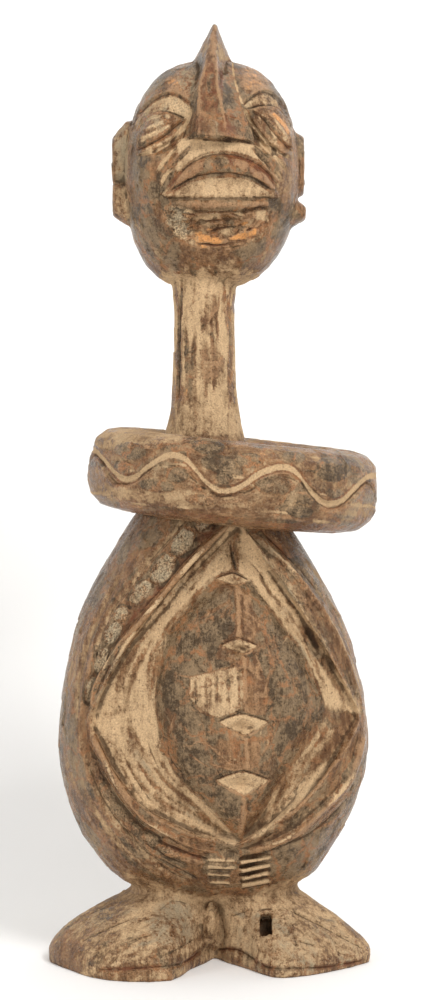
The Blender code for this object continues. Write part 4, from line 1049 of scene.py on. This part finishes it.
def makeRing():
    piece = fineMesh(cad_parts["ring"], "neckRing", ringLook["voxel"], ringLook["smoothing"])
    co, normal = readPoints(piece)
    skin = Carving(co, normal)
    chance = np.random.default_rng(12)
    skin.tint(np.arange(len(co)), np.ones(len(co)),
              {"clay": 0.44, "dark": 0.36, "worn": 0.2, "gloss": 0.4, "grey": 0.2})
    for _ in range(90):
        x, y = somewhere(chance, ringLines["area"])
        length = chance.uniform(14, 44)
        tone = chance.choice(4, p=[0.3, 0.3, 0.2, 0.2])
        tones = ({"clay": 0.85, "dark": 0.1, "worn": 0.1},
                 {"clay": 0.15, "dark": 0.7, "worn": 0.2, "red": 0.3},
                 {"clay": 0.25, "dark": 0.1, "worn": 0.75}, {"clay": 0.1, "dark": 0.9, "speck": 0.5})[tone]
        skin.stroke([(x - length / 2, y - length * 0.04), (x, y), (x + length / 2, y + length * 0.06)],
                    chance.uniform(2.5, 5.5), chance.uniform(-0.1, 0.25), 0.4, **tones)
    for x, y, wide, high in ringLines["darkSpots"]:
        skin.dome((x, y), (wide, high), 6, 0.8, 0.6, 0.9, dark=0.85, clay=0.15, worn=0.0, speck=0.4,
                  gloss=0.6)
    skin.region(ringLines["paleTop"], soft=8, amount=0.7, clay=0.8, dark=0.1, grey=0.2)
    skin.region(ringLines["paleBottom"], soft=6, amount=0.6, clay=0.75, dark=0.1, worn=0.3)
    # Painted shade on the underside of the ring
    skin.region(ringLines["shadedUnderside"], soft=6, amount=0.9, clay=0.1, dark=0.6, red=0.6)
    wave = [(86, 450), (94, 450), (104.5, 461), (113, 471), (123, 478.6), (135, 477), (147, 467),
            (161.6, 458), (174, 455), (186, 459), (196, 470), (204.5, 480.6), (215, 489), (227, 491.4),
            (241, 486.7), (253.5, 477.6), (268, 470), (284, 467), (296, 472), (306.5, 485), (317, 498),
            (329, 504), (343, 500), (355.5, 488), (368, 477), (378, 476)]
    skin.stroke(wave, 7.5, 0.7, 0.02, clay=0.97, dark=0.0, worn=0.0)
    for side in (-4.5, 4.5):
        skin.stroke([(x, y + side) for x, y in wave], 2.4, 0.25, 0.02, clay=0.2, dark=0.6, red=0.6)
    rough = softNoise(co * [0.5, 0.5, 1], 3.0 * mm, 21) + 0.5 * softNoise(co, 1.5 * mm, 22)
    flats = knifeFlats(co, ringLook["flatSize"] * mm, 5) * ringLook["flatSize"] * ringLook["flatLean"]
    co += normal * ((skin.lift + rough * ringLook["roughness"] + flats) * mm)[:, None]
    writePoints(piece, co)
    co, normal = readPoints(piece)
    writeTones(piece, skin.tones, reliefOf(piece, co, normal))
    thinOut(piece, ringLook["mostTriangles"],
            np.where(normal[:, 1] > backFacing, 1.0, ringLook["frontShare"]))
    finishPiece(piece, "ring", woodFinish("ringWood", ringColours, sideways=True))


# Finish

figureColours = {
    "clay": (0.570, 0.390, 0.220),
    "clayDeep": (0.250, 0.152, 0.076),
    "clayGrey": (0.285, 0.235, 0.155),
    "skin": (0.052, 0.030, 0.014),
    "skinWorn": (0.225, 0.148, 0.080),
    "wood": (0.105, 0.046, 0.019),
    "woodPale": (0.255, 0.136, 0.062),
    "red": (0.128, 0.038, 0.014),
    "line": (0.300, 0.120, 0.043),
    "rubbed": (0.350, 0.200, 0.100),
    "raw": (0.640, 0.280, 0.085),
    # the darkest colour, for small pits and for painted shade in the deepest cuts
    "pitAndCutShade": (0.026, 0.011, 0.006),
}
ringColours = dict(figureColours, clay=(0.50, 0.340, 0.190))


def addNode(tree, kind, settings=None, **values):
    made = tree.nodes.new(kind)
    for name, value in (settings or {}).items():
        setattr(made, name, value)
    for name, value in values.items():
        socket = made.inputs[name.replace("_", " ")]
        if isinstance(value, bpy.types.NodeSocket):
            tree.links.new(value, socket)
        else:
            socket.default_value = value
    return made


def blend(tree, amount, first, second, mode="MIX"):  # one colour over another
    made = tree.nodes.new("ShaderNodeMix")
    made.data_type = "RGBA"
    made.blend_type = mode
    made.clamp_factor = True
    for socket, value in ((made.inputs[0], amount), (made.inputs[6], first), (made.inputs[7], second)):
        if isinstance(value, bpy.types.NodeSocket):
            tree.links.new(value, socket)
        else:
            socket.default_value = value if isinstance(value, float) else (*value, 1.0)
    return made.outputs[2]


def sums(tree, operation, *values):
    made = tree.nodes.new("ShaderNodeMath")
    made.operation = operation
    for socket, value in zip(made.inputs, values):
        if isinstance(value, bpy.types.NodeSocket):
            tree.links.new(value, socket)
        else:
            socket.default_value = value
    return made.outputs[0]


def ramp(tree, value, low, high, toLow=0.0, toHigh=1.0):  # eased step between two values
    made = tree.nodes.new("ShaderNodeMapRange")
    made.interpolation_type = "SMOOTHSTEP"
    for name, number in (("From Min", low), ("From Max", high), ("To Min", toLow), ("To Max", toHigh)):
        made.inputs[name].default_value = number
    tree.links.new(value, made.inputs["Value"])
    return made.outputs["Result"]


def stretched(tree, vector, scale):
    made = tree.nodes.new("ShaderNodeMapping")
    made.inputs["Scale"].default_value = scale
    tree.links.new(vector, made.inputs["Vector"])
    return made.outputs["Vector"]


def newGroup(name, inputs, outputs):
    tree = bpy.data.node_groups.new(name, "ShaderNodeTree")
    for socketName, kind, value in inputs:
        socket = tree.interface.new_socket(socketName, in_out="INPUT", socket_type=kind)
        if value is not None:
            socket.default_value = value
    for socketName, kind in outputs:
        tree.interface.new_socket(socketName, in_out="OUTPUT", socket_type=kind)
    return tree, tree.nodes.new("NodeGroupInput"), tree.nodes.new("NodeGroupOutput")


def makeGrainGroup():  # long streaks along the wood, 0 to 1
    tree, given, result = newGroup("woodGrain",
                                   [("Vector", "NodeSocketVector", None),
                                    ("Scale", "NodeSocketFloat", 400.0)],
                                   [("Streaks", "NodeSocketFloat"), ("Fibres", "NodeSocketFloat")])
    long = stretched(tree, given.outputs["Vector"], (1, 1, 0.12))
    fine = stretched(tree, given.outputs["Vector"], (3.0, 3.0, 0.22))
    broad = addNode(tree, "ShaderNodeTexNoise", Vector=long, Scale=given.outputs["Scale"], Detail=5.0,
                    Roughness=0.62)
    thin = addNode(tree, "ShaderNodeTexNoise", Vector=fine, Scale=given.outputs["Scale"], Detail=3.0,
                   Roughness=0.7)
    tree.links.new(broad.outputs["Fac"], result.inputs["Streaks"])
    tree.links.new(thin.outputs["Fac"], result.inputs["Fibres"])
    return tree


def makeCrackleGroup():  # patches of old skin on the wood, with the lines between them
    tree, given, result = newGroup("crackedSkin",
                                   [("Vector", "NodeSocketVector", None),
                                    ("Scale", "NodeSocketFloat", 60.0)],
                                   [("Lines", "NodeSocketFloat"), ("Patch", "NodeSocketFloat"),
                                    ("Specks", "NodeSocketFloat")])
    waver = addNode(tree, "ShaderNodeTexNoise", Vector=given.outputs["Vector"], Scale=160.0, Detail=4.0,
                    Roughness=0.6)
    shift = tree.nodes.new("ShaderNodeVectorMath")
    shift.operation = "MULTIPLY_ADD"
    tree.links.new(waver.outputs["Color"], shift.inputs[0])
    shift.inputs[1].default_value = (0.012, 0.012, 0.012)
    tree.links.new(given.outputs["Vector"], shift.inputs[2])
    edges = addNode(tree, "ShaderNodeTexVoronoi", {"feature": "DISTANCE_TO_EDGE"}, Vector=shift.outputs[0],
                    Scale=given.outputs["Scale"])
    cells = addNode(tree, "ShaderNodeTexVoronoi", {"feature": "F1"}, Vector=shift.outputs[0],
                    Scale=given.outputs["Scale"])
    specks = addNode(tree, "ShaderNodeTexNoise", Vector=given.outputs["Vector"], Scale=1300.0, Detail=3.0,
                     Roughness=0.75)
    tree.links.new(ramp(tree, edges.outputs["Distance"], 0.0, 0.10, 1.0, 0.0), result.inputs["Lines"])
    split = addNode(tree, "ShaderNodeSeparateColor", Color=cells.outputs["Color"])
    tree.links.new(split.outputs[0], result.inputs["Patch"])
    tree.links.new(specks.outputs["Fac"], result.inputs["Specks"])
    return tree


grainGroup = makeGrainGroup()
crackleGroup = makeCrackleGroup()


def placeGroup(tree, group, vector, scale):
    made = tree.nodes.new("ShaderNodeGroup")
    made.node_tree = group
    tree.links.new(vector, made.inputs["Vector"])
    made.inputs["Scale"].default_value = scale
    return made.outputs


def centred(tree, value, share):  # a 0 to 1 value as a push of either sign
    return sums(tree, "MULTIPLY", sums(tree, "SUBTRACT", value, 0.5), share)


def total(tree, *values):
    result = values[0]
    for value in values[1:]:
        result = sums(tree, "ADD", result, value)
    return result


def product(tree, *values):
    result = values[0]
    for value in values[1:]:
        result = sums(tree, "MULTIPLY", result, value)
    return result


patternScale = {  # the larger, the finer
    "grain": 420.0,
    "ringGrain": 330.0,
    "crackle": 62.0,
    "cloud": 300.0,
    "fleck": 850.0,
    "drift": 75.0,
}


def woodFinish(name, colours, sideways=False):
    material = bpy.data.materials.new(name)
    material.use_nodes = True
    tree = material.node_tree
    shader = tree.nodes["Principled BSDF"]
    place = tree.nodes.new("ShaderNodeTexCoord").outputs["Object"]
    tones = addNode(tree, "ShaderNodeAttribute", {"attribute_name": "tones"})
    marks = addNode(tree, "ShaderNodeAttribute", {"attribute_name": "marks"})
    clay, dark, worn = addNode(tree, "ShaderNodeSeparateColor", Color=tones.outputs["Color"]).outputs
    red, grey, speck = addNode(tree, "ShaderNodeSeparateColor", Color=marks.outputs["Color"]).outputs
    relief, gloss = tones.outputs["Alpha"], marks.outputs["Alpha"]
    along = stretched(tree, place, (0.16, 0.16, 5.0)) if sideways else place
    grain = placeGroup(tree, grainGroup, along, patternScale["ringGrain" if sideways else "grain"])
    skin = placeGroup(tree, crackleGroup, place, patternScale["crackle"])
    cloud = addNode(tree, "ShaderNodeTexNoise", Vector=place, Scale=patternScale["cloud"], Detail=6.0,
                    Roughness=0.7).outputs["Fac"]
    fleck = addNode(tree, "ShaderNodeTexNoise", Vector=place, Scale=patternScale["fleck"], Detail=4.0,
                    Roughness=0.75).outputs["Fac"]
    drift = addNode(tree, "ShaderNodeTexNoise", Vector=stretched(tree, place, (1, 1, 0.6)),
                    Scale=patternScale["drift"], Detail=6.0, Roughness=0.62).outputs["Fac"]
    # Bare brown wood, redder in places
    paleness = total(tree, grain["Streaks"], centred(tree, drift, 0.6), centred(tree, fleck, 0.4))
    colour = blend(tree, ramp(tree, paleness, 0.36, 0.64), colours["wood"], colours["woodPale"])
    reddened = ramp(tree, total(tree, red, centred(tree, cloud, 1.4), centred(tree, drift, 0.8)), 0.35,
                    0.75, 0.0, 0.92)
    colour = blend(tree, reddened, colour, colours["red"])
    # The old dark skin in patches, thin where it is dusty, with warm wood in the lines between
    cover = total(tree, dark, centred(tree, skin["Patch"], 0.5), centred(tree, drift, 1.2),
                  centred(tree, cloud, 0.4), centred(tree, fleck, 0.2), product(tree, red, -0.25))
    thinned = ramp(tree, total(tree, drift, centred(tree, drift, 0.2), centred(tree, cloud, 0.9),
                               centred(tree, fleck, 0.6), centred(tree, grain["Fibres"], 0.5)), 0.30, 0.66)
    skinColour = blend(tree, thinned, colours["skin"], colours["skinWorn"])
    colour = blend(tree, ramp(tree, cover, 0.30, 0.60), colour, skinColour)
    lines = product(tree, skin["Lines"], ramp(tree, drift, 0.40, 0.56), ramp(tree, cloud, 0.36, 0.54))
    colour = blend(tree, product(tree, lines, 0.8), colour, colours["line"])
    # Rubbed edges and worn places, raw where the wear is deepest
    rubbed = total(tree, worn, centred(tree, relief, 1.1), centred(tree, cloud, 0.7),
                   centred(tree, fleck, 0.4), centred(tree, grain["Streaks"], 0.6))
    colour = blend(tree, ramp(tree, rubbed, 0.45, 0.95, 0.0, 0.8), colour, colours["rubbed"])
    raw = ramp(tree, total(tree, worn, centred(tree, cloud, 0.9), centred(tree, grain["Streaks"], 0.5)),
               0.74, 0.98)
    colour = blend(tree, product(tree, raw, 0.85), colour, colours["raw"])
    # Clay dust, thick in the hollows and broken by the grain, greyer in places
    powder = total(tree, clay, centred(tree, relief, -0.35), centred(tree, cloud, 1.1),
                   centred(tree, fleck, 0.8), centred(tree, grain["Fibres"], 0.5),
                   centred(tree, drift, 0.6))
    covered = ramp(tree, powder, 0.34, 0.66)
    clayTone = ramp(tree, total(tree, clay, centred(tree, drift, 1.2), centred(tree, fleck, 0.6),
                                centred(tree, cloud, 0.9), centred(tree, grain["Streaks"], 0.9)), 0.30,
                    0.95)
    clayColour = blend(tree, clayTone, colours["clayDeep"], colours["clay"])
    greyed = ramp(tree, total(tree, grey, centred(tree, drift, 1.5), centred(tree, cloud, 0.8)), 0.25, 0.85,
                  0.0, 0.85)
    clayColour = blend(tree, greyed, clayColour, colours["clayGrey"])
    colour = blend(tree, product(tree, covered, 0.93), colour, clayColour)
    # Fine speckles, strong on the beads
    dapple = total(tree, centred(tree, skin["Specks"], 1.5),
                   product(tree, speck, centred(tree, skin["Specks"], 4.5)))
    colour = blend(tree, 1.0, colour, sums(tree, "MAXIMUM", sums(tree, "ADD", dapple, 1.0), 0.15),
                   "MULTIPLY")
    # Painted shade with some grime, darker in the deepest cuts, and dark small pits, though not under thick
    # clay
    bare = ramp(tree, clay, 0.95, 0.6)
    hollow = total(tree, relief, centred(tree, cloud, 0.3), centred(tree, dark, -0.15))
    cutShadeAndGrime = product(tree, ramp(tree, hollow, 0.24, 0.04), bare)
    colour = blend(tree, product(tree, cutShadeAndGrime, 0.65), colour, colours["pitAndCutShade"])
    pits = product(tree, ramp(tree, skin["Specks"], 0.40, 0.30), ramp(tree, cloud, 0.54, 0.42))
    colour = blend(tree, product(tree, pits, 0.7), colour, colours["pitAndCutShade"])
    tree.links.new(colour, shader.inputs["Base Color"])
    shine = total(tree, covered, centred(tree, cloud, 0.6), centred(tree, relief, -0.5), cutShadeAndGrime,
                  product(tree, gloss, -0.55))
    tree.links.new(ramp(tree, shine, -0.5, 1.0, 0.22, 0.86), shader.inputs["Roughness"])
    shader.inputs["Specular IOR Level"].default_value = 0.42
    shader.inputs["Specular Tint"].default_value = (1.0, 0.84, 0.66, 1.0)
    height = total(tree, product(tree, grain["Fibres"], 0.45), product(tree, skin["Specks"], 0.45),
                   product(tree, cloud, 0.5), product(tree, fleck, 0.35), product(tree, lines, -0.2),
                   product(tree, pits, -0.7))
    bump = addNode(tree, "ShaderNodeBump", Strength=0.9, Distance=0.0010, Height=height)
    tree.links.new(bump.outputs["Normal"], shader.inputs["Normal"])
    return material


# Stage, lights and camera

stageLook = {
    "paper": (0.93, 0.925, 0.915),
    "wallGap": 0.34,  # metres from the figure's axis to the wall behind
    "bend": 0.24,
    "world": 0.66,
}


def makeSweep():
    rows = [(-2.0, 0.0), (0.02, 0.0)]
    gap, bend = stageLook["wallGap"], stageLook["bend"]
    for k in range(9):
        turn = math.radians(90 * k / 8)
        rows.append((gap - bend + bend * math.sin(turn), bend - bend * math.cos(turn)))
    rows.append((gap, 2.5))
    points = [(x, y, z - 0.0002) for y, z in rows for x in (-3.0, 3.0)]
    faces = [(2 * k, 2 * k + 1, 2 * k + 3, 2 * k + 2) for k in range(len(rows) - 1)]
    mesh = bpy.data.meshes.new("paperSweep")
    mesh.from_pydata(points, [], faces)
    mesh.shade_smooth()
    sweep = bpy.data.objects.new("paperSweep", mesh)
    bpy.context.scene.collection.objects.link(sweep)
    material = bpy.data.materials.new("paper")
    material.use_nodes = True
    tree = material.node_tree
    shader = tree.nodes["Principled BSDF"]
    shader.inputs["Base Color"].default_value = (*stageLook["paper"], 1)
    shader.inputs["Roughness"].default_value = 0.9
    # Paper is seen from its lit side only, so that a camera behind the wall sees the object
    side = tree.nodes.new("ShaderNodeNewGeometry")
    clear = tree.nodes.new("ShaderNodeBsdfTransparent")
    either = tree.nodes.new("ShaderNodeMixShader")
    tree.links.new(side.outputs["Backfacing"], either.inputs[0])
    tree.links.new(shader.outputs["BSDF"], either.inputs[1])
    tree.links.new(clear.outputs["BSDF"], either.inputs[2])
    tree.links.new(either.outputs["Shader"], tree.nodes["Material Output"].inputs["Surface"])
    mesh.materials.append(material)


def makeLight(name, place, target, size, power):
    lamp = bpy.data.objects.new(name, bpy.data.lights.new(name, "AREA"))
    bpy.context.scene.collection.objects.link(lamp)
    lamp.location = place
    aim = np.array(target) - np.array(place)
    lamp.rotation_euler = (math.atan2(math.hypot(aim[0], aim[1]), -aim[2]), 0, math.atan2(-aim[0], aim[1]))
    lamp.data.shape = "RECTANGLE"
    lamp.data.size, lamp.data.size_y = size
    lamp.data.energy = power


def makeLights():
    makeLight("key", (0.60, -1.0, 1.20), (0, 0, 0.24), (0.5, 0.5), 16)
    makeLight("fill", (-1.1, -1.0, 0.5), (0, 0, 0.24), (0.4, 0.4), 4.5)
    world = bpy.data.worlds.new("room")
    world.use_nodes = True
    world.node_tree.nodes["Background"].inputs["Color"].default_value = (1, 0.99, 0.97, 1)
    world.node_tree.nodes["Background"].inputs["Strength"].default_value = stageLook["world"]
    bpy.context.scene.world = world
    bpy.context.scene.view_settings.view_transform = "Standard"


def makeCamera():
    camera = bpy.data.objects.new("camera", bpy.data.cameras.new("camera"))
    bpy.context.scene.collection.objects.link(camera)
    camera.location = view["eye"]
    camera.rotation_euler = (math.radians(90), 0, 0)
    camera.data.sensor_fit = "VERTICAL"
    camera.data.sensor_height = view["sensor"]
    camera.data.sensor_width = view["sensor"]
    camera.data.lens = view["sensor"] * -view["eye"][1] / (view["pixelsHigh"] * view["pixelSize"])
    camera.data.clip_start = 0.01
    bpy.context.scene.camera = camera


makeCamera()
makeSweep()
makeLights()
print("stage set")
makeFigure()
makeRing()
